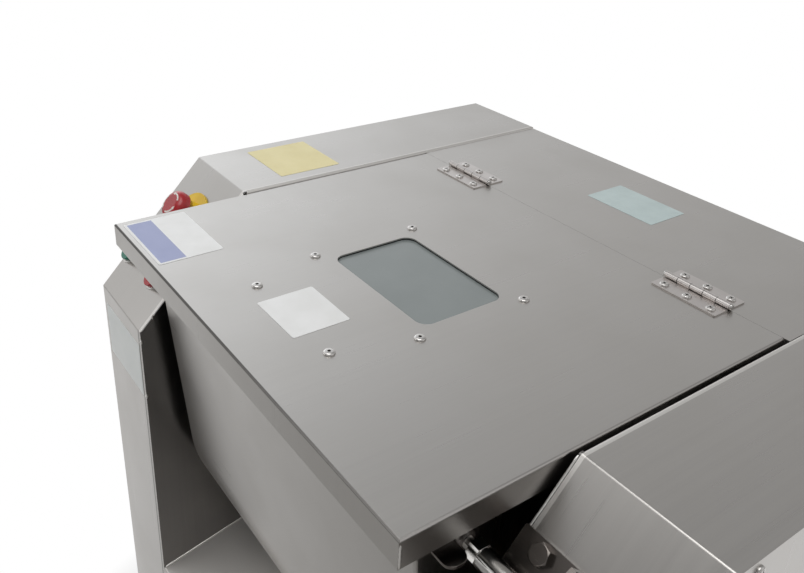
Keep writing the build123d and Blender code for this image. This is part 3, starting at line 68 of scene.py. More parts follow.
def pick(piece, kind, rule):  # in edit mode, selects the faces, edges or points that fit the rule
    bpy.ops.mesh.select_mode(type=kind)
    bpy.ops.mesh.select_all(action="DESELECT")
    shape = bmesh.from_edit_mesh(piece.data)
    for part in {"FACE": shape.faces, "EDGE": shape.edges, "VERT": shape.verts}[kind]:
        if rule(part):
            part.select_set(True)
    shape.select_flush_mode()
    bmesh.update_edit_mesh(piece.data)


def useModifier(piece, kind, settings):
    onlySelect(piece)
    modifier = piece.modifiers.new(kind.title(), kind)
    for key, value in settings.items():
        setattr(modifier, key, value)
    bpy.ops.object.modifier_apply(modifier=modifier.name)


def putAt(piece, place):  # moves a piece that was made at the origin, and keeps its place in its mesh
    onlySelect(piece)
    piece.matrix_world = place
    bpy.ops.object.transform_apply(location=True, rotation=True, scale=True)


def copyOf(piece):
    onlySelect(piece)
    bpy.ops.object.duplicate()
    return bpy.context.object


def joined(pieces):  # the first piece takes in the others
    onlySelect(*pieces)
    bpy.ops.object.join()
    return pieces[0]


def facing(direction):  # turns a piece's own up towards a direction
    return direction.to_track_quat("Z", "Y").to_matrix().to_4x4()


def smooth(piece, angle=32):
    onlySelect(piece)
    bpy.ops.object.shade_smooth_by_angle(angle=math.radians(angle))


def settle(piece, name, body, slot, *materials):
    piece.name = name
    piece.data.name = name
    if materials:
        dress(piece, *materials)
    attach(piece, body)


# Small tools for materials

def linear(hexColour):  # sRGB hex to linear RGBA
    parts = [int(hexColour[i:i + 2], 16) / 255 for i in (1, 3, 5)]
    return [c / 12.92 if c <= 0.04045 else ((c + 0.055) / 1.055) ** 2.4 for c in parts] + [1.0]


def addNode(tree, kind, values=None):  # each value goes to the socket or setting in its key, and a socket is linked
    node = tree.nodes.new(kind)
    for key, value in (values or {}).items():
        if isinstance(value, bpy.types.NodeSocket):
            tree.links.new(value, node.inputs[key])
        elif isinstance(key, int) or key in node.inputs:
            node.inputs[key].default_value = value
        else:
            setattr(node, key, value)
    return node


def newMaterial(name):
    material = bpy.data.materials.new(name)
    material.use_nodes = True
    material.node_tree.nodes.clear()
    return material, material.node_tree


# Materials
# a Mix takes colours at sockets 6 and 7 and gives 2, and takes values at 2 and 3 and gives 0; 0 is its share

evenSpan = {"From Min": 0.3, "From Max": 0.7}  # most of a noise's values lie here
smudgeSpan = {"From Min": 0.42, "From Max": 0.72}  # the higher ones only, so that smudges stand apart
scratchSpan = {"From Min": 0.35, "From Max": 0.7}
noiseDetail = dict(streak=2.0, smudge=4.0, grain=3.0, patch=4.0, cloud=5.0, scratch=3.0)
smudgeDulls = 0.25  # how much rougher a fully smudged place is
streakDepth = 0.1


def brushedMetal(name, look):
    # a soft, blurred mirror with faint streaks: they lie close together along the axes in across, and run along
    # the others
    material, tree = newMaterial(name)
    place = addNode(tree, "ShaderNodeTexCoord").outputs["Object"]
    fineScale = [1 / (mm * (look["streak"] if axis in look["across"] else look["run"])) for axis in "XYZ"]
    broadScale = [value / look["broad"] for value in fineScale]
    fineMap = addNode(tree, "ShaderNodeMapping", {"Scale": fineScale, "Vector": place})
    broadMap = addNode(tree, "ShaderNodeMapping", {"Scale": broadScale, "Vector": place})
    fine = addNode(tree, "ShaderNodeTexNoise",
                   {"Scale": 1.0, "Detail": noiseDetail["streak"], "Vector": fineMap.outputs[0]})
    broad = addNode(tree, "ShaderNodeTexNoise",
                    {"Scale": 1.0, "Detail": noiseDetail["streak"], "Vector": broadMap.outputs[0]})
    smudge = addNode(tree, "ShaderNodeTexNoise",
                     {"Scale": 1 / (look["smudge"] * mm), "Detail": noiseDetail["smudge"], "Vector": place})
    streaks = addNode(tree, "ShaderNodeMix", {"data_type": "FLOAT", "Factor": 0.5, 2: fine.outputs["Fac"],
                                              3: broad.outputs["Fac"]}).outputs[0]
    tone = addNode(tree, "ShaderNodeMix",
                   {"data_type": "RGBA", 0: streaks, 6: linear(look["dark"]), 7: linear(look["light"])})
    handled = addNode(tree, "ShaderNodeMapRange",
                      {**smudgeSpan, "To Max": look["haze"], "Value": smudge.outputs["Fac"]}).outputs[0]
    stained = addNode(tree, "ShaderNodeMix",
                      {"data_type": "RGBA", 0: handled, 6: tone.outputs[2], 7: linear(look["stain"])})
    gloss = addNode(tree, "ShaderNodeMapRange", {**evenSpan, "To Min": look["rough"] - look["spread"],
                                                 "To Max": look["rough"] + look["spread"], "Value": streaks})
    rough = addNode(tree, "ShaderNodeMath",
                    {"operation": "MULTIPLY_ADD", 0: handled, 1: smudgeDulls, 2: gloss.outputs[0]})
    bump = addNode(tree, "ShaderNodeBump", {"Strength": look["bump"], "Distance": streakDepth * mm, "Height": streaks})
    colour, dullness = stained.outputs[2], rough.outputs[0]
    for mark in look.get("marks", []):  # a mark lies where the place is past the limits along all of its directions
        cover = mark["share"]
        for along, start, end in mark["limits"]:
            reach = addNode(tree, "ShaderNodeVectorMath", {"operation": "DOT_PRODUCT", 0: place, 1: along})
            past = addNode(tree, "ShaderNodeMapRange",
                           {"From Min": start * mm, "From Max": end * mm, "Value": reach.outputs["Value"]})
            cover = addNode(tree, "ShaderNodeMath",
                            {"operation": "MULTIPLY", 0: cover, 1: past.outputs[0]}).outputs[0]
        colour = addNode(tree, "ShaderNodeMix",
                         {"data_type": "RGBA", 0: cover, 6: colour, 7: linear(mark["colour"])}).outputs[2]
        dullness = addNode(tree, "ShaderNodeMix",
                           {"data_type": "FLOAT", 0: cover, 2: dullness, 3: mark["rough"]}).outputs[0]
    shader = addNode(tree, "ShaderNodeBsdfPrincipled",
                     {"Base Color": colour, "Roughness": dullness, "Normal": bump.outputs[0], "Metallic": 1.0})
    addNode(tree, "ShaderNodeOutputMaterial", {"Surface": shader.outputs["BSDF"]})
    return material


def plainFinish(name, look):
    # one colour with slow drift over patches, and a fine grain that breaks up the gloss
    material, tree = newMaterial(name)
    place = addNode(tree, "ShaderNodeTexCoord").outputs["Object"]
    grain = addNode(tree, "ShaderNodeTexNoise", {"Scale": 1 / (look["grain"] * mm), "Detail": noiseDetail["grain"],
                                                 "Vector": place}).outputs["Fac"]
    patch = addNode(tree, "ShaderNodeTexNoise", {"Scale": 1 / (look["patch"] * mm), "Detail": noiseDetail["patch"],
                                                 "Vector": place}).outputs["Fac"]
    drift = addNode(tree, "ShaderNodeMapRange", {**evenSpan, "Value": patch})
    tone = addNode(tree, "ShaderNodeMix",
                   {"data_type": "RGBA", 0: drift.outputs[0], 6: linear(look["dark"]), 7: linear(look["light"])})
    gloss = addNode(tree, "ShaderNodeMapRange", {**evenSpan, "To Min": look["rough"] - look["spread"],
                                                 "To Max": look["rough"] + look["spread"], "Value": grain})
    bump = addNode(tree, "ShaderNodeBump", {"Strength": look["bump"], "Distance": look["depth"] * mm, "Height": grain})
    shader = addNode(tree, "ShaderNodeBsdfPrincipled",
                     {"Base Color": tone.outputs[2], "Roughness": gloss.outputs[0], "Normal": bump.outputs[0],
                      "IOR": look["ior"], "Coat Weight": look.get("coat", 0.0)})
    addNode(tree, "ShaderNodeOutputMaterial", {"Surface": shader.outputs["BSDF"]})
    return material


def scratchedPane(name, look):
    # polycarbonate sheet full of hairline scratches; its grey, a little blue and clouded by noise, is a painted
    # reflection
    material, tree = newMaterial(name)
    place = addNode(tree, "ShaderNodeTexCoord").outputs["Object"]
    cloud = addNode(tree, "ShaderNodeTexNoise",
                    {"Scale": 1 / (look["cloud"] * mm), "Detail": noiseDetail["cloud"], "Vector": place})
    lines = addNode(tree, "ShaderNodeMapping", {"Scale": [1 / (size * mm) for size in look["scratch"]],
                                                "Rotation": (0, 0, math.radians(look["slant"])), "Vector": place})
    scratch = addNode(tree, "ShaderNodeTexNoise",
                      {"Scale": 1.0, "Detail": noiseDetail["scratch"], "Vector": lines.outputs[0]})
    tone = addNode(tree, "ShaderNodeMix", {"data_type": "RGBA", 0: cloud.outputs["Fac"], 6: linear(look["dark"]),
                                           7: linear(look["light"])})
    gloss = addNode(tree, "ShaderNodeMapRange", {**scratchSpan, "To Min": look["rough"],
                                                 "To Max": look["rough"] + look["spread"],
                                                 "Value": scratch.outputs["Fac"]})
    shader = addNode(tree, "ShaderNodeBsdfPrincipled",
                     {"Base Color": tone.outputs[2], "Roughness": gloss.outputs[0], "IOR": look["ior"],
                      "Transmission Weight": look["clear"]})
    addNode(tree, "ShaderNodeOutputMaterial", {"Surface": shader.outputs["BSDF"]})
    return material


# stainless sheet finished with a fine belt, drawn a little coarser than its real 0.3 mm so that it shows
sheetLook = dict(streak=1.2, run=240, broad=6, smudge=90, dark="#b7b4b1", light="#c0bdb9", stain="#a8a49c", haze=0.12,
                 rough=0.29, spread=0.025, bump=0.015, across="X")
steelLong = brushedMetal("Stainless sheet, brushed along its length", sheetLook)
# the shelf, which starts above the cover's front panel, gets a paler colour as painted light, and a rougher finish
shelfPaintedLight = dict(colour="#dddad6", rough=0.6, share=1.0, limits=[((0, 0, 1), 353, 357)])
steelShelfLit = brushedMetal("Stainless sheet, painted lighter and rougher on top", dict(sheetLook, marks=[shelfPaintedLight]))
# a dark painted shade line runs along the lid's front bend, strongest at the left
bendShadeLine = dict(colour="#2a2826", rough=0.35, share=0.82,
                limits=[((0, -1, 1), 1225.9, 1226.3), ((-1, 0, 0), -900, 0)])
lidSteel = brushedMetal("Stainless sheet, brushed, with painted shade on its bend", dict(sheetLook, marks=[bendShadeLine]))
# the pedestals' sheets carry a pale painted highlight along their inner edge, and a dark painted shade line beside it
# down the front
edgeShadeLine = dict(colour="#35322f", rough=0.35, share=0.8)
edgeHighlight = dict(colour="#e4e1dd", rough=0.5, share=0.75)


def edgeLightMarks(side):  # side is 1 at the left pedestal, -1 at the right one
    return [dict(edgeShadeLine, limits=[((side, 0, 0), -290.0, -289.6), ((0, 0, -1), -746, -743)]),
            dict(edgeHighlight, limits=[((side, 0, 0), -287.0, -286.6)])]


leftSteel = brushedMetal("Stainless sheet, left edge with painted highlight and shade", dict(sheetLook, marks=edgeLightMarks(1)))
rightSteel = brushedMetal("Stainless sheet, right edge ground", dict(sheetLook, marks=edgeLightMarks(-1)))
steelUp = brushedMetal("Stainless sheet, brushed upwards", dict(sheetLook, across="Y"))
# cold rolled plate left as it came from the mill: smoother and darker than the brushed sheet
steelMill = brushedMetal("Stainless plate, mill finish",
                         dict(sheetLook, across="Y", dark="#737170", light="#82807e", rough=0.22))
steelRound = brushedMetal("Stainless sheet, brushed across the trough", dict(sheetLook, across="YZ"))
# drawn bar and pressed leaves shine more than the sheet and show fine lines along their length
brightLook = dict(sheetLook, streak=0.6, run=40, broad=4, smudge=30, dark="#b6b4b1", light="#d0cecb", rough=0.17,
                  across="YZ")
drawnSteel = brushedMetal("Drawn stainless bar, bright", brightLook)
leafSteel = brushedMetal("Pressed stainless, satin",
                         dict(brightLook, dark="#c4bfbc", light="#d5d0cd", rough=0.3, run=25))
# hot rolled plate and forged bolts keep a thin brown-grey skin, so they stay much darker than the sheet
rolledSteel = brushedMetal("Stainless plate, as rolled",
                           dict(brightLook, dark="#68635f", light="#78726e", stain="#5b534c", rough=0.24, run=25))
# cold headed screws and turned rings: bright all over, with tiny tool marks and no direction
headedSteel = brushedMetal("Cold headed stainless, bright",
                           dict(brightLook, across="XYZ", streak=0.8, rough=0.26, bump=0.03, dark="#c6c3c0",
                                light="#dad7d4"))
# ground and polished where it meets the dough, so the grinding lines are short and crossed
groundSteel = brushedMetal("Stainless, ground and polished",
                           dict(sheetLook, across="XYZ", streak=2.5, broad=8, rough=0.24))
# a brushed bead whose near-white colour is a painted highlight, paler than the sheets it joins
weldHighlightSteel = brushedMetal("Stainless weld, painted bright",
                         dict(brightLook, across="XYZ", streak=1.0, rough=0.3, dark="#e6e4e0", light="#f8f6f3"))
# hardened steel is greyer than stainless, and bronze is yellow-brown; both show fine lines from the machine
bearingSteel = brushedMetal("Bearing steel, ground", dict(brightLook, dark="#9c9b99", light="#b4b3b0", rough=0.22))
bronze = brushedMetal("Bearing bronze, turned",
                      dict(brightLook, dark="#98703c", light="#b98a4c", stain="#6f5330", rough=0.28))

# primer and enamel flow a little before they set, which leaves a slight orange peel
paintLook = dict(grain=2.2, patch=60, rough=0.42, spread=0.06, bump=0.25, depth=0.12, ior=1.5)
framePaint = plainFinish("Grey primer on steel", dict(paintLook, dark="#6d7072", light="#7c7f81", rough=0.55))
ironPaint = plainFinish("Enamel on cast iron",
                        dict(paintLook, grain=3.5, depth=0.35, bump=0.5, dark="#3f464d", light="#4a525a"))
motorPaint = plainFinish("Enamel on die cast aluminium", dict(paintLook, dark="#52606f", light="#5f6d7d", rough=0.38))
# moulded plastic takes the fine spark texture of its mould
mouldLook = dict(grain=0.5, patch=25, rough=0.4, spread=0.05, bump=0.2, depth=0.04, ior=1.49)
blackPlastic = plainFinish("Black polyamide, moulded", dict(mouldLook, dark="#161616", light="#1e1e1f", rough=0.5))
greyPlastic = plainFinish("Light grey ABS, moulded", dict(mouldLook, dark="#9c9e9d", light="#a6a8a6"))
yellowPlastic = plainFinish("Yellow polycarbonate, moulded",
                            dict(mouldLook, dark="#dcb61e", light="#e9c62c", rough=0.33))
# the caps are polished, so they carry a clear highlight
capLook = dict(mouldLook, rough=0.26, coat=0.3)
redPlastic = plainFinish("Red polycarbonate, moulded", dict(capLook, dark="#a3161f", light="#b41e27"))
greenPlastic = plainFinish("Green polycarbonate, moulded", dict(capLook, dark="#0a6a56", light="#107a63"))
rubber = plainFinish("Black rubber", dict(mouldLook, grain=0.9, dark="#131313", light="#1c1b1b", rough=0.68, ior=1.52))
# printed vinyl film: smooth, faintly wavy where it lies on the sheet
filmLook = dict(grain=9, patch=30, rough=0.36, spread=0.05, bump=0.06, depth=0.05, ior=1.5)
whiteFilm = plainFinish("White vinyl film", dict(filmLook, dark="#e3e3e1", light="#ebebea"))
blueFilm = plainFinish("Blue print on vinyl film", dict(filmLook, dark="#949bc0", light="#9ba2c6"))
yellowFilm = plainFinish("Yellow vinyl film", dict(filmLook, dark="#dfd297", light="#e6daa2"))
paleFilm = plainFinish("Pale blue vinyl film", dict(filmLook, dark="#b6c5c4", light="#c0cfce"))
palestFilm = plainFinish("Pale grey vinyl film", dict(filmLook, dark="#edf1ef", light="#f4f7f5"))
markPaint = plainFinish("White pad print", dict(filmLook, grain=1.0, dark="#e3ddd6", light="#ece7e1"))
# painted shade for screw recesses and the joints between hinge knuckles: dull and nearly black
recessAndJointShade = plainFinish("Painted shade in recesses and joints", dict(filmLook, grain=0.8, patch=3, dark="#171614", light="#211f1c", rough=0.6))
paneReflectionGrey = scratchedPane("Polycarbonate pane, scratched, with painted reflection",
                    dict(cloud=45, scratch=(0.9, 60, 60), slant=24, dark="#868d8c", light="#939a99", rough=0.2,
                         spread=0.03, ior=1.58, clear=0.2))

finishes = [
    (steelLong, ["rear_bulkhead", "rear_deck", "rear_panel", "lid_stiffener", "lid_rests", "window_clamp"]),
    (steelShelfLit, ["base_cover"]),
    (lidSteel, ["lid_shell"]),
    (leftSteel, ["left_wrap"]),
    (rightSteel, ["right_wrap"]),
    (steelMill, ["left_side_plate", "right_side_plate"]),
    (steelUp, ["left_cover", "right_cover", "left_end_plate", "right_end_plate"]),
    (steelRound, ["trough_shell"]),
    (leafSteel, ["lid_hinge_leaves", "deck_hinge_leaves", "lock_lug"]),
    (rolledSteel, ["lock_bracket", "lock_bolts"]),
    (drawnSteel, ["lock_bar", "hinge_pins", "foot_studs"]),
    (headedSteel, ["lid_nuts", "start_bezel", "stop_bezel", "cover_screws", "lid_screws", "lid_leaf_screws",
                   "deck_leaf_screws"]),
    (groundSteel, ["agitator_shaft", "agitator_blades", "trunnion_sleeves"]),
    (bearingSteel, ["bearing_inserts", "drive_bolts", "output_shaft"]),
    (bronze, ["trunnion_bushes"]),
    (framePaint, ["base_frame", "floor_plate"]),
    (ironPaint, ["flange_bearings", "driven_pulley", "drive_pulley"]),
    (motorPaint, ["motor", "gearbox"]),
    (rubber, ["window_gasket", "shaft_seals", "drive_belts", "foot_pads"]),
    (paneReflectionGrey, ["window_pane"]),
    (blackPlastic, ["contact_blocks", "lock_knob", "cable_gland", "estop_stem"]),
    (greyPlastic, ["control_box"]),
    (yellowPlastic, ["estop_collar"]),
    (redPlastic, ["estop_cap", "stop_button"]),
    (greenPlastic, ["start_button"]),
]
for material, names in finishes:
    for name in names:
        dress(nodes[name], material)
bare = set(nodes) - {name for material, names in finishes for name in names}
print("materials done, nodes without one:", sorted(bare))


# Screws: domed heads with a hexagon socket or a cross recess
# each length is modelled once and copied to the CAD screws' places

buttonHead = dict(head=11.5, height=2.4, dome=2.15, recess="hexagon", socket=3.2, deep=1.5, shank=6.0)
hingeHead = dict(head=10.2, height=2.2, dome=1.7, recess="cross", socket=4.2, slot=1.1, deep=1.3, shank=4.0)
coverHead = dict(head=9.5, height=2.5, dome=2.1, recess="cross", socket=5.4, slot=1.1, deep=1.5, shank=5.0)
screwSets = [dict(name="lid_button_screws", node="lid_screws", body="lid", look=buttonHead),
             dict(name="lid_leaf_pan_screws", node="lid_leaf_screws", body="lid", look=hingeHead),
             dict(name="deck_leaf_pan_screws", node="deck_leaf_screws", body="frame", look=hingeHead),
             dict(name="cover_pan_screws", node="cover_screws", body="frame", look=coverHead)]
# past the share in level a point is at the head's top, and a face looks straight up or down
screwMesh = dict(sides=32, domeSegments=5, domeProfile=0.5, socketSides=6, level=0.9, recessReach=0.6, recessDepth=0.5,
                 turn=47, spotDigits=5, gripDigits=4)


def looseBoxes(node):  # the lowest and highest corner of each loose solid in a CAD node
    mesh = nodes[node].data
    spots = [tuple(round(c, screwMesh["spotDigits"]) for c in point.co) for point in mesh.vertices]
    leader = {spot: spot for spot in spots}

    def lead(spot):
        while leader[spot] != spot:
            spot = leader[spot]
        return spot

    for face in mesh.polygons:
        first = lead(spots[face.vertices[0]])
        for corner in face.vertices[1:]:
            leader[lead(spots[corner])] = first
    groups = {}
    for spot in leader:
        groups.setdefault(lead(spot), []).append(spot)
    return [(Vector(map(min, zip(*group))), Vector(map(max, zip(*group)))) for group in groups.values()]


def makeScrew(look, grip):
    radius, height, shank = look["head"] / 2 * mm, look["height"] * mm, look["shank"] / 2 * mm
    socket, deep, level = look["socket"] * mm, look["deep"] * mm, screwMesh["level"]
    bpy.ops.object.select_all(action="DESELECT")
    bpy.ops.mesh.primitive_cylinder_add(vertices=screwMesh["sides"], radius=radius, depth=height,
                                        location=(0, 0, height / 2))
    screw = bpy.context.object
    bpy.ops.object.transform_apply(location=True)
    editMode(screw)
    pick(screw, "EDGE", lambda edge: all(point.co.z > level * height for point in edge.verts))
    bpy.ops.mesh.bevel(offset=look["dome"] * mm, segments=screwMesh["domeSegments"], profile=screwMesh["domeProfile"],
                       affect="EDGES")
    pick(screw, "FACE", lambda face: face.normal.z < -level)
    bpy.ops.mesh.inset(thickness=radius - shank)
    bpy.ops.mesh.extrude_region_move(TRANSFORM_OT_translate={"value": (0, 0, -grip)})
    bpy.ops.mesh.select_all(action="SELECT")
    bpy.ops.mesh.normals_make_consistent(inside=False)
    objectMode()
    cutters = []
    if look["recess"] == "hexagon":
        bpy.ops.mesh.primitive_cylinder_add(vertices=screwMesh["socketSides"], radius=socket / math.sqrt(3),
                                            depth=2 * deep, location=(0, 0, height))
        cutters.append(bpy.context.object)
    else:
        slot = look["slot"] * mm
        for size in ((socket, slot), (slot, socket)):
            bpy.ops.mesh.primitive_cube_add(size=1, location=(0, 0, height))
            bpy.context.object.scale = (*size, 2 * deep)
            cutters.append(bpy.context.object)
    for cutter in cutters:
        useModifier(screw, "BOOLEAN", dict(operation="DIFFERENCE", object=cutter, solver="EXACT"))
        bpy.data.objects.remove(cutter)
    # the recess floors take the second material, a painted shade
    dress(screw, headedSteel, recessAndJointShade)
    editMode(screw)
    pick(screw, "FACE", lambda face: face.calc_center_median().xy.length < screwMesh["recessReach"] * socket
         and 0 < face.calc_center_median().z < height - screwMesh["recessDepth"] * deep and face.normal.z > level)
    screw.active_material_index = 1
    bpy.ops.object.material_slot_assign()
    objectMode()
    smooth(screw)
    return screw


for screwSet in screwSets:
    height = screwSet["look"]["height"] * mm
    masters, copies = {}, []
    for number, (low, high) in enumerate(looseBoxes(screwSet["node"])):
        span = high - low
        axis = max(range(3), key=lambda index: span[index])
        outward = Vector((0, 0, 0))
        outward[axis] = -1 if axis == 0 and high.x < 0 else 1
        seat = (low + high) / 2 + outward * (span[axis] / 2 - height)
        grip = round(span[axis] - height, screwMesh["gripDigits"])
        if grip not in masters:
            masters[grip] = makeScrew(screwSet["look"], grip)
        copies.append(copyOf(masters[grip]))
        spin = Matrix.Rotation(math.radians(screwMesh["turn"] * number), 4, "Z")  # no two screws stop at the same turn
        putAt(copies[-1], Matrix.Translation(seat) @ facing(outward) @ spin)
    joined(copies)
    settle(copies[0], screwSet["name"], screwSet["body"], "stainless_fittings")
    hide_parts(screwSet["node"])
    for master in masters.values():
        bpy.data.objects.remove(master)
print("screws done")


# Bare plates of film, lying on the sheets that carry them

film = dict(thick=0.25, corner=2.0, segments=4)
plates = [dict(name="lid_corner_plate", size=(109, 72), middle=(-215.5, -287, 898), face="up", body="lid",
               slot="grey_plastic", film=whiteFilm, field=blueFilm, fieldLow=(-51.5, -33.0), fieldHigh=(51.5, -5.0)),
          dict(name="lid_middle_plate", size=(72, 61), middle=(-5, -242, 898), face="up", body="lid",
               slot="grey_plastic", film=whiteFilm),
          dict(name="deck_plate", size=(102, 63), middle=(-5, 235, 898), face="up", body="frame",
               slot="grey_plastic", film=paleFilm),
          dict(name="pedestal_top_plate", size=(99, 88), middle=(-352, -60, 900), face="up", body="frame",
               slot="yellow_plastic", film=yellowFilm),
          dict(name="pedestal_front_plate", size=(120, 76), middle=(-351, -313, 684), face="front", body="frame",
               slot="grey_plastic", film=palestFilm)]
facings = dict(up=Matrix.Identity(4), front=Matrix.Rotation(math.radians(90), 4, "X"))


def makeFlat(width, depth, corner, segments):  # a flat piece about the origin, with round corners
    bpy.ops.object.select_all(action="DESELECT")
    bpy.ops.mesh.primitive_plane_add(size=1)
    piece = bpy.context.object
    piece.scale = (width * mm, depth * mm, 1)
    bpy.ops.object.transform_apply(scale=True)
    editMode(piece)
    bpy.ops.mesh.select_all(action="SELECT")
    bpy.ops.mesh.bevel(offset=corner * mm, segments=segments, affect="VERTICES")
    objectMode()
    return piece


for plate in plates:
    piece = makeFlat(*plate["size"], film["corner"], film["segments"])
    dress(piece, plate["film"])
    if "field" in plate:
        piece.data.materials.append(plate["field"])
        editMode(piece)
        low, high = Vector(plate["fieldLow"]) * mm, Vector(plate["fieldHigh"]) * mm
        for spot, across in (((low.x, 0, 0), (1, 0, 0)), ((high.x, 0, 0), (1, 0, 0)),
                             ((0, low.y, 0), (0, 1, 0)), ((0, high.y, 0), (0, 1, 0))):
            bpy.ops.mesh.select_all(action="SELECT")
            bpy.ops.mesh.bisect(plane_co=spot, plane_no=across)
        pick(piece, "FACE", lambda face: low.x < face.calc_center_median().x < high.x
             and low.y < face.calc_center_median().y < high.y)
        piece.active_material_index = 1
        bpy.ops.object.material_slot_assign()
        objectMode()
    useModifier(piece, "SOLIDIFY", dict(thickness=film["thick"] * mm, offset=1.0))
    putAt(piece, Matrix.Translation(Vector(plate["middle"]) * mm) @ facings[plate["face"]])
    settle(piece, plate["name"], plate["body"], plate["slot"])
print("plates done")


# Marks on the controls: turning arrows on the emergency stop, a bar and a ring on the push buttons

slope = dict(foot=(0, -313, 745), rise=155, run=146)
control = dict(startX=-395.25, stopX=-313.75, stopCapX=-351, buttonRise=60, capRise=147, buttonTop=16.0, capTop=34.0)
markThick = 0.2
arrowLook = dict(count=3, radius=13.2, width=2.2, sides=72, turn=72, start=36, head=3.0, headSides=3, headCuts=4,
                 lift=0.12)
ringLook = dict(radius=4.6, width=1.5, sides=40)
barLook = dict(width=1.6, length=8.5, corner=0.3, segments=3)


def fasciaPlace(x, rise, height):  # a place on the sloped fascia, with its own up direction
    tilt = math.atan2(slope["rise"], slope["run"])
    across = Vector((1, 0, 0))
    upSlope = Vector((0, math.cos(tilt), math.sin(tilt)))
    outward = Vector((0, -math.sin(tilt), math.cos(tilt)))
    spot = (Vector(slope["foot"]) + across * x + upSlope * rise + outward * height) * mm
    return Matrix.Translation(spot) @ Matrix((across, upSlope, outward)).transposed().to_4x4()


def makeRing(radius, width, sides):  # a flat ring of faces about the origin
    bpy.ops.object.select_all(action="DESELECT")
    bpy.ops.mesh.primitive_circle_add(vertices=sides, radius=(radius + width / 2) * mm)
    ring = bpy.context.object
    editMode(ring)
    bpy.ops.mesh.select_all(action="SELECT")
    bpy.ops.mesh.extrude_edges_move()
    inner = (radius - width / 2) / (radius + width / 2)
    bpy.ops.transform.resize(value=(inner, inner, 1), center_override=(0, 0, 0))
    bpy.ops.mesh.select_all(action="SELECT")
    bpy.ops.mesh.normals_make_consistent(inside=False)
    objectMode()
    return ring


def makeArrow(look):  # part of a ring about the origin, with a pointed end
    arrow = makeRing(look["radius"], look["width"], look["sides"])
    turn = math.radians(look["turn"])
    editMode(arrow)
    pick(arrow, "FACE",
         lambda face: not 0 < math.atan2(face.calc_center_median().y, face.calc_center_median().x) < turn)
    bpy.ops.mesh.delete(type="FACE")
    objectMode()
    tip = Vector((math.cos(turn), math.sin(turn), 0)) * look["radius"] * mm
    bpy.ops.mesh.primitive_circle_add(vertices=look["headSides"], radius=look["head"] * mm, fill_type="NGON",
                                      location=tip, rotation=(0, 0, turn))
    head = bpy.context.object
    bpy.ops.object.transform_apply(location=True, rotation=True)
    editMode(head)
    bpy.ops.mesh.select_all(action="SELECT")
    bpy.ops.mesh.subdivide(number_cuts=look["headCuts"])
    objectMode()
    return joined([arrow, head])


def raiseMark(piece):  # gives a flat mark its thickness, on the side that faces outwards
    editMode(piece)
    bpy.ops.mesh.select_all(action="SELECT")
    shape = bmesh.from_edit_mesh(piece.data)
    if sum(face.normal.z for face in shape.faces) < 0:
        bpy.ops.mesh.flip_normals()
    objectMode()
    useModifier(piece, "SOLIDIFY", dict(thickness=markThick * mm, offset=1.0))


arrow = makeArrow(arrowLook)
arrows = [arrow] + [copyOf(arrow) for number in range(1, arrowLook["count"])]
for number, copy in enumerate(arrows):
    putAt(copy, Matrix.Rotation(math.radians(360 / arrowLook["count"] * number + arrowLook["start"]), 4, "Z"))
capArrows = joined(arrows)
raiseMark(capArrows)
putAt(capArrows, fasciaPlace(control["stopCapX"], control["capRise"], control["capTop"]))
useModifier(capArrows, "SHRINKWRAP", dict(target=nodes["estop_cap"], wrap_method="NEAREST_SURFACEPOINT",
                                          wrap_mode="ABOVE_SURFACE", offset=arrowLook["lift"] * mm))
settle(capArrows, "estop_cap_arrows", "estop_twist", "grey_plastic", markPaint)

stopRing = makeRing(ringLook["radius"], ringLook["width"], ringLook["sides"])
raiseMark(stopRing)
putAt(stopRing, fasciaPlace(control["stopX"], control["buttonRise"], control["buttonTop"]))
settle(stopRing, "stop_button_ring", "stop_push", "grey_plastic", markPaint)

startBar = makeFlat(barLook["width"], barLook["length"], barLook["corner"], barLook["segments"])
raiseMark(startBar)
putAt(startBar, fasciaPlace(control["startX"], control["buttonRise"], control["buttonTop"]))
settle(startBar, "start_button_bar", "start_push", "grey_plastic", markPaint)
print("marks done")


# Weld seams: the lid's front corners, the pedestals' inner edges with their tacks, and the shelf's sides

lidCorner = dict(body="lid", radius=1.4)
slopeEdge = dict(body="frame", radius=1.2)
frontEdge = dict(body="frame", radius=0.8)
shelfEdge = dict(body="frame", radius=0.9)
seams = [dict(lidCorner, name="lid_corner_weld_left", start=(-279.1, -328.6, 872.5), end=(-279.1, -328.6, 893.5)),
         dict(lidCorner, name="lid_corner_weld_right", start=(274.6, -328.6, 872.5), end=(274.6, -328.6, 893.5)),
         dict(slopeEdge, name="left_slope_seam", start=(-281.5, -311.8, 745.9), end=(-281.5, -168.6, 898.0)),
         dict(slopeEdge, name="right_slope_seam", start=(281.5, -311.8, 745.9), end=(281.5, -168.6, 898.0)),
         dict(frontEdge, name="left_front_seam", start=(-282.0, -312.4, 105), end=(-282.0, -312.4, 743)),
         dict(frontEdge, name="right_front_seam", start=(282.0, -312.4, 105), end=(282.0, -312.4, 743)),
         dict(shelfEdge, name="shelf_seam_left", start=(-280.4, -311, 357.0), end=(-280.4, -60, 414.9)),
         dict(shelfEdge, name="shelf_seam_right", start=(280.4, -311, 357.0), end=(280.4, -60, 414.9))]
ripple = dict(step=2.2, ease=0.86, end=0.5, sides=10, near=0.1)
tacks = [dict(name="slope_tack_left", place=(-280.7, -296.4, 762.9)),
         dict(name="front_tack_high", place=(-281.0, -312.8, 732)),
         dict(name="front_tack_low", place=(-281.0, -312.8, 651)),
         dict(name="slope_tack_right", place=(280.7, -262.4, 799.4)),
         dict(name="right_tack_high", place=(281.0, -312.8, 700)),
         dict(name="right_tack_low", place=(281.0, -312.8, 610))]
tackLook = dict(long=3.2, wide=2.1, high=1.7, sides=20, rings=12, crownFrom=0.4, crown=(0.8, 0.8, 0.75))
weldAngle = 60


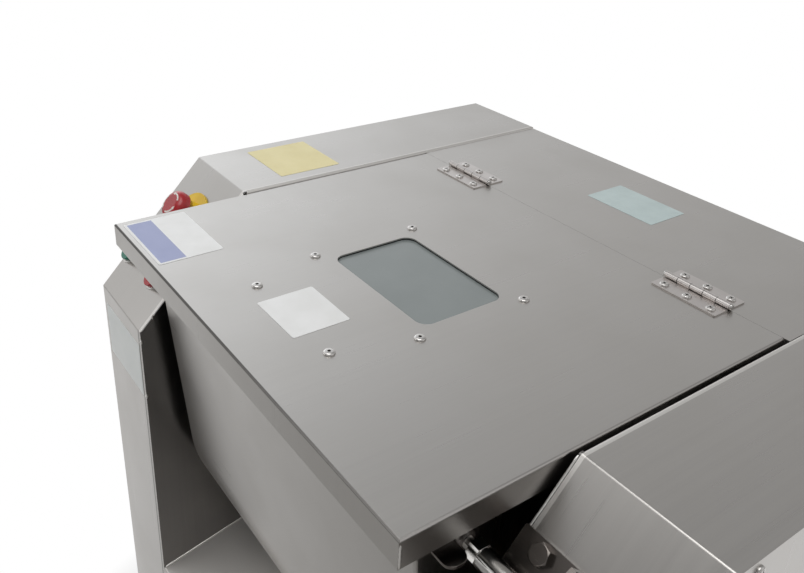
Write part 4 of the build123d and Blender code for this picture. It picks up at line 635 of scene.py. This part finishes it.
def makeSeam(length, radius):  # a rippled bead along Z, about the origin
    near = ripple["near"] * mm
    bpy.ops.object.select_all(action="DESELECT")
    bpy.ops.mesh.primitive_cylinder_add(vertices=ripple["sides"], radius=radius, depth=length)
    seam = bpy.context.object
    editMode(seam)
    count = int(length / (ripple["step"] * mm))
    levels = [length * (number / count - 0.5) for number in range(1, count)]
    for level in levels:
        bpy.ops.mesh.select_all(action="SELECT")
        bpy.ops.mesh.bisect(plane_co=(0, 0, level), plane_no=(0, 0, 1))
    pick(seam, "VERT", lambda point: any(abs(point.co.z - level) < near for level in levels[::2]))
    bpy.ops.transform.resize(value=(ripple["ease"], ripple["ease"], 1), center_override=(0, 0, 0))
    pick(seam, "VERT", lambda point: abs(point.co.z) > length / 2 - near)
    bpy.ops.transform.resize(value=(ripple["end"], ripple["end"], 1), center_override=(0, 0, 0))
    objectMode()
    smooth(seam, weldAngle)
    return seam


def makeTack(look):  # a small round bead, flatter at its top
    bpy.ops.object.select_all(action="DESELECT")
    bpy.ops.mesh.primitive_uv_sphere_add(segments=look["sides"], ring_count=look["rings"], radius=1 * mm)
    tack = bpy.context.object
    editMode(tack)
    bpy.ops.mesh.select_all(action="SELECT")
    bpy.ops.transform.resize(value=(look["high"], look["wide"], look["long"]), center_override=(0, 0, 0))
    pick(tack, "VERT", lambda point: point.co.z > look["crownFrom"] * look["long"] * mm)
    bpy.ops.transform.resize(value=look["crown"], center_override=(0, 0, 0))
    objectMode()
    smooth(tack, weldAngle)
    return tack


# the seams and tacks take the near-white weld colour, a painted highlight
masters = {}
for seam in seams:
    start, end = Vector(seam["start"]) * mm, Vector(seam["end"]) * mm
    run = end - start
    if seam["radius"] not in masters:  # seams of one radius have one length too
        masters[seam["radius"]] = makeSeam(run.length, seam["radius"] * mm)
    piece = copyOf(masters[seam["radius"]])
    putAt(piece, Matrix.Translation((start + end) / 2) @ facing(run))
    settle(piece, seam["name"], seam["body"], "stainless_sheet", weldHighlightSteel)
for master in masters.values():
    bpy.data.objects.remove(master)

master = makeTack(tackLook)
for tack in tacks:
    piece = copyOf(master)
    putAt(piece, Matrix.Translation(Vector(tack["place"]) * mm))
    settle(piece, tack["name"], "frame", "stainless_sheet", weldHighlightSteel)
bpy.data.objects.remove(master)
print("welds done")


# Painted shade: dark rings in the joints between the hinges' knuckles

jointShade = dict(middles=(-185, 177), length=78, knuckles=5, y=114.7, z=901.96, radius=3.54, deep=0.5, wide=0.8, sides=28)
master = makeRing(jointShade["radius"] - jointShade["deep"] / 2, jointShade["deep"], jointShade["sides"])
useModifier(master, "SOLIDIFY", dict(thickness=jointShade["wide"] * mm, offset=0.0))
rings = []
for middle in jointShade["middles"]:
    for number in range(1, jointShade["knuckles"]):
        rings.append(copyOf(master))
        x = middle + jointShade["length"] * (number / jointShade["knuckles"] - 0.5)
        spot = Vector((x, jointShade["y"], jointShade["z"])) * mm
        putAt(rings[-1], Matrix.Translation(spot) @ Matrix.Rotation(math.radians(90), 4, "Y"))
bpy.data.objects.remove(master)
settle(joined(rings), "hinge_joint_shade", "frame", "rubber", recessAndJointShade)
print("joints done")


# Strike tab: a small level plate on the trough's right end, in front of the lock

strikeTab = dict(name="trough_strike_tab", low=(248, -285, 843), high=(277, -264, 846), corner=9.0, cornerSegments=8,
                 edge=0.6, edgeSegments=2, sharp=60, near=2.8)
tabLow, tabHigh = Vector(strikeTab["low"]) * mm, Vector(strikeTab["high"]) * mm
bpy.ops.object.select_all(action="DESELECT")
bpy.ops.mesh.primitive_cube_add(size=1)
tab = bpy.context.object
tab.scale = tabHigh - tabLow
tab.location = (tabLow + tabHigh) / 2
bpy.ops.object.transform_apply(location=True, rotation=True, scale=True)
editMode(tab)
pick(tab, "EDGE", lambda edge: all(point.co.x > tabHigh.x - strikeTab["near"] * mm for point in edge.verts)
     and abs(edge.verts[0].co.z - edge.verts[1].co.z) > 1 * mm)
bpy.ops.mesh.bevel(offset=strikeTab["corner"] * mm, segments=strikeTab["cornerSegments"], affect="EDGES")
pick(tab, "EDGE", lambda edge: edge.calc_length() > 0 and len(edge.link_faces) == 2
     and edge.calc_face_angle() > math.radians(strikeTab["sharp"]))
bpy.ops.mesh.bevel(offset=strikeTab["edge"] * mm, segments=strikeTab["edgeSegments"], affect="EDGES")
objectMode()
smooth(tab)
settle(tab, strikeTab["name"], "trough", "stainless_fittings", rolledSteel)
print("tab done")


# Camera, at the photograph's own view

cameraView = dict(place=(0.6022, -0.5845, 1.3289), turn=(65.627, -2.177, 54.467), lens=38.03, shift=(0.0048, -0.1048),
                  sensor=36.0, nearest=0.02)
cameraData = bpy.data.cameras.new("camera")
cameraData.sensor_width = cameraView["sensor"]
cameraData.sensor_fit = "HORIZONTAL"
cameraData.lens = cameraView["lens"]
cameraData.shift_x, cameraData.shift_y = cameraView["shift"]
cameraData.clip_start = cameraView["nearest"]
camera = bpy.data.objects.new("camera", cameraData)
camera.location = cameraView["place"]
camera.rotation_euler = Euler([math.radians(a) for a in cameraView["turn"]])
scene.collection.objects.link(camera)
scene.camera = camera


# Studio: pale floor, soft boxes and a room that is brightest at the machine's left

# the floor turns white to the camera between whiteFrom and whiteTo from its middle, and mirrors see its left part white
floorLook = dict(size=40.0, colour="#c2c1bf", rough=0.9, whiteFrom=0.45, whiteTo=0.72, mirrorTowards=(-1.0, 2.2, 0),
                 mirrorFrom=-1.0, mirrorTo=0.05, mirror=0.87, mirrorNear=2.1, mirrorFar=2.9)
# the room's glow fades to horizon towards the floor, and mirrors see the white backdrop in full below bandFrom
roomLook = dict(horizon=0.1, horizonFrom=0.0, horizonTo=0.12, bandFrom=0.04, bandTo=0.16, backdropMirror=0.06)
roomGlows = [dict(name="leftWindow", towards=(-1, 0.15, 0.3), focus=10, colour="#f7fbff", glow=1.71),
             dict(name="backLeft", towards=(-0.6, 0.8, 0.35), focus=6, colour="#ffffff", glow=0.57),
             dict(name="back", towards=(-0.1, 1, 0.35), focus=6, colour="#ffffff", glow=0.12),
             dict(name="backRight", towards=(0.75, 0.6, 0.55), focus=7, colour="#ffffff", glow=0.50),
             dict(name="ceiling", towards=(0.1, 0, 1), focus=8, colour="#ffffff", glow=0.60),
             dict(name="right", towards=(1, 0.3, 0.2), focus=3, colour="#ffffff", glow=0.25),
             dict(name="frontRight", towards=(0.55, -0.7, 0.45), focus=8, colour="#ffffff", glow=0.40),
             dict(name="frontLeft", towards=(-0.8, -0.6, 0.3), focus=6, colour="#ffffff", glow=0.68)]
softBoxes = [dict(name="topBox", place=(0.35, -0.6, 3.0), aim=(0, 0, 0.8), size=(1.6, 1.6), glow=1.95),
             dict(name="ceilingBox", place=(-0.6, -0.83, 2.8), aim=(0.2, -0.2, 0.9), size=(1.6, 1.6), glow=0.90),
             dict(name="frontBox", place=(-1.3, -1.9, 1.0), aim=(-0.2, -0.3, 0.7), size=(1.2, 1.2), glow=0.70)]
plainWhite = {"Color": (1, 1, 1, 1), "Strength": 1.0}

bpy.ops.object.select_all(action="DESELECT")
bpy.ops.mesh.primitive_plane_add(size=floorLook["size"])
floor = bpy.context.object
floor.name = "floor"
floorPaint, tree = newMaterial("Pale studio floor")
paint = addNode(tree, "ShaderNodeBsdfPrincipled",
                {"Base Color": linear(floorLook["colour"]), "Roughness": floorLook["rough"]})
place = addNode(tree, "ShaderNodeTexCoord").outputs["Object"]
away = addNode(tree, "ShaderNodeVectorMath", {"operation": "LENGTH", 0: place}).outputs["Value"]
side = addNode(tree, "ShaderNodeVectorMath", {"operation": "DOT_PRODUCT", 0: place, 1: floorLook["mirrorTowards"]})
outer = addNode(tree, "ShaderNodeMapRange",
                {"From Min": floorLook["whiteFrom"], "From Max": floorLook["whiteTo"], "Value": away})
leftPart = addNode(tree, "ShaderNodeMapRange",
                   {"From Min": floorLook["mirrorFrom"], "From Max": floorLook["mirrorTo"],
                    "To Max": floorLook["mirror"], "Value": side.outputs["Value"]})
nearPart = addNode(tree, "ShaderNodeMapRange",
                   {"From Min": floorLook["mirrorNear"], "From Max": floorLook["mirrorFar"], "To Min": 1.0,
                    "To Max": 0.0, "Value": away})
leftNear = addNode(tree, "ShaderNodeMath", {"operation": "MULTIPLY", 0: leftPart.outputs[0], 1: nearPart.outputs[0]})
ray = addNode(tree, "ShaderNodeLightPath").outputs
direct = addNode(tree, "ShaderNodeMath",
                 {"operation": "MAXIMUM", 0: ray["Is Camera Ray"], 1: ray["Is Transmission Ray"]})
seen = addNode(tree, "ShaderNodeMath", {"operation": "MULTIPLY", 0: direct.outputs[0], 1: outer.outputs[0]})
mirrored = addNode(tree, "ShaderNodeMath", {"operation": "MULTIPLY", 0: ray["Is Glossy Ray"], 1: leftNear.outputs[0]})
white = addNode(tree, "ShaderNodeMath", {"operation": "MAXIMUM", 0: seen.outputs[0], 1: mirrored.outputs[0]})
glow = addNode(tree, "ShaderNodeEmission", plainWhite)
mixed = addNode(tree, "ShaderNodeMixShader", {0: white.outputs[0], 1: paint.outputs["BSDF"], 2: glow.outputs[0]})
addNode(tree, "ShaderNodeOutputMaterial", {"Surface": mixed.outputs[0]})
dress(floor, floorPaint)

world = bpy.data.worlds.new("Studio room")
world.use_nodes = True
tree = world.node_tree
tree.nodes.clear()
heading = addNode(tree, "ShaderNodeTexCoord").outputs["Generated"]
tone = (0, 0, 0)
for source in roomGlows:
    towards = Vector(source["towards"]).normalized()
    reach = addNode(tree, "ShaderNodeVectorMath", {"operation": "DOT_PRODUCT", 0: heading, 1: towards})
    ahead = addNode(tree, "ShaderNodeMath", {"operation": "MAXIMUM", 0: reach.outputs["Value"], 1: 0.0})
    share = addNode(tree, "ShaderNodeMath", {"operation": "POWER", 0: ahead.outputs[0], 1: source["focus"]})
    colour = [c * source["glow"] for c in linear(source["colour"])[:3]]
    lit = addNode(tree, "ShaderNodeVectorMath", {"operation": "SCALE", 0: colour, "Scale": share.outputs[0]})
    tone = addNode(tree, "ShaderNodeVectorMath", {"operation": "ADD", 0: tone, 1: lit.outputs[0]}).outputs[0]
rise = addNode(tree, "ShaderNodeSeparateXYZ", {0: heading}).outputs["Z"]
above = addNode(tree, "ShaderNodeMapRange",
                {"interpolation_type": "SMOOTHSTEP", "From Min": roomLook["horizonFrom"],
                 "From Max": roomLook["horizonTo"], "To Min": roomLook["horizon"], "Value": rise})
room = addNode(tree, "ShaderNodeBackground", {"Color": tone, "Strength": above.outputs[0]})
backdrop = addNode(tree, "ShaderNodeBackground", plainWhite)
band = addNode(tree, "ShaderNodeMapRange",
               {"interpolation_type": "SMOOTHSTEP", "From Min": roomLook["bandFrom"], "From Max": roomLook["bandTo"],
                "To Min": 1.0, "To Max": roomLook["backdropMirror"], "Value": rise})
ray = addNode(tree, "ShaderNodeLightPath").outputs
direct = addNode(tree, "ShaderNodeMath",
                 {"operation": "MAXIMUM", 0: ray["Is Camera Ray"], 1: ray["Is Transmission Ray"]})
mirrored = addNode(tree, "ShaderNodeMath", {"operation": "MULTIPLY", 0: ray["Is Glossy Ray"], 1: band.outputs[0]})
white = addNode(tree, "ShaderNodeMath", {"operation": "MAXIMUM", 0: direct.outputs[0], 1: mirrored.outputs[0]})
mixed = addNode(tree, "ShaderNodeMixShader", {0: white.outputs[0], 1: room.outputs[0], 2: backdrop.outputs[0]})
addNode(tree, "ShaderNodeOutputWorld", {"Surface": mixed.outputs[0]})
scene.world = world

for box in softBoxes:
    lamp = bpy.data.lights.new(box["name"], "AREA")
    lamp.shape = "RECTANGLE"
    lamp.size, lamp.size_y = box["size"]
    lamp.energy = box["glow"] * math.pi * box["size"][0] * box["size"][1]  # glow is the box's own brightness
    holder = bpy.data.objects.new(box["name"], lamp)
    holder.location = box["place"]
    holder.rotation_euler = (Vector(box["aim"]) - Vector(box["place"])).to_track_quat("-Z", "Y").to_euler()
    scene.collection.objects.link(holder)
print("studio done")
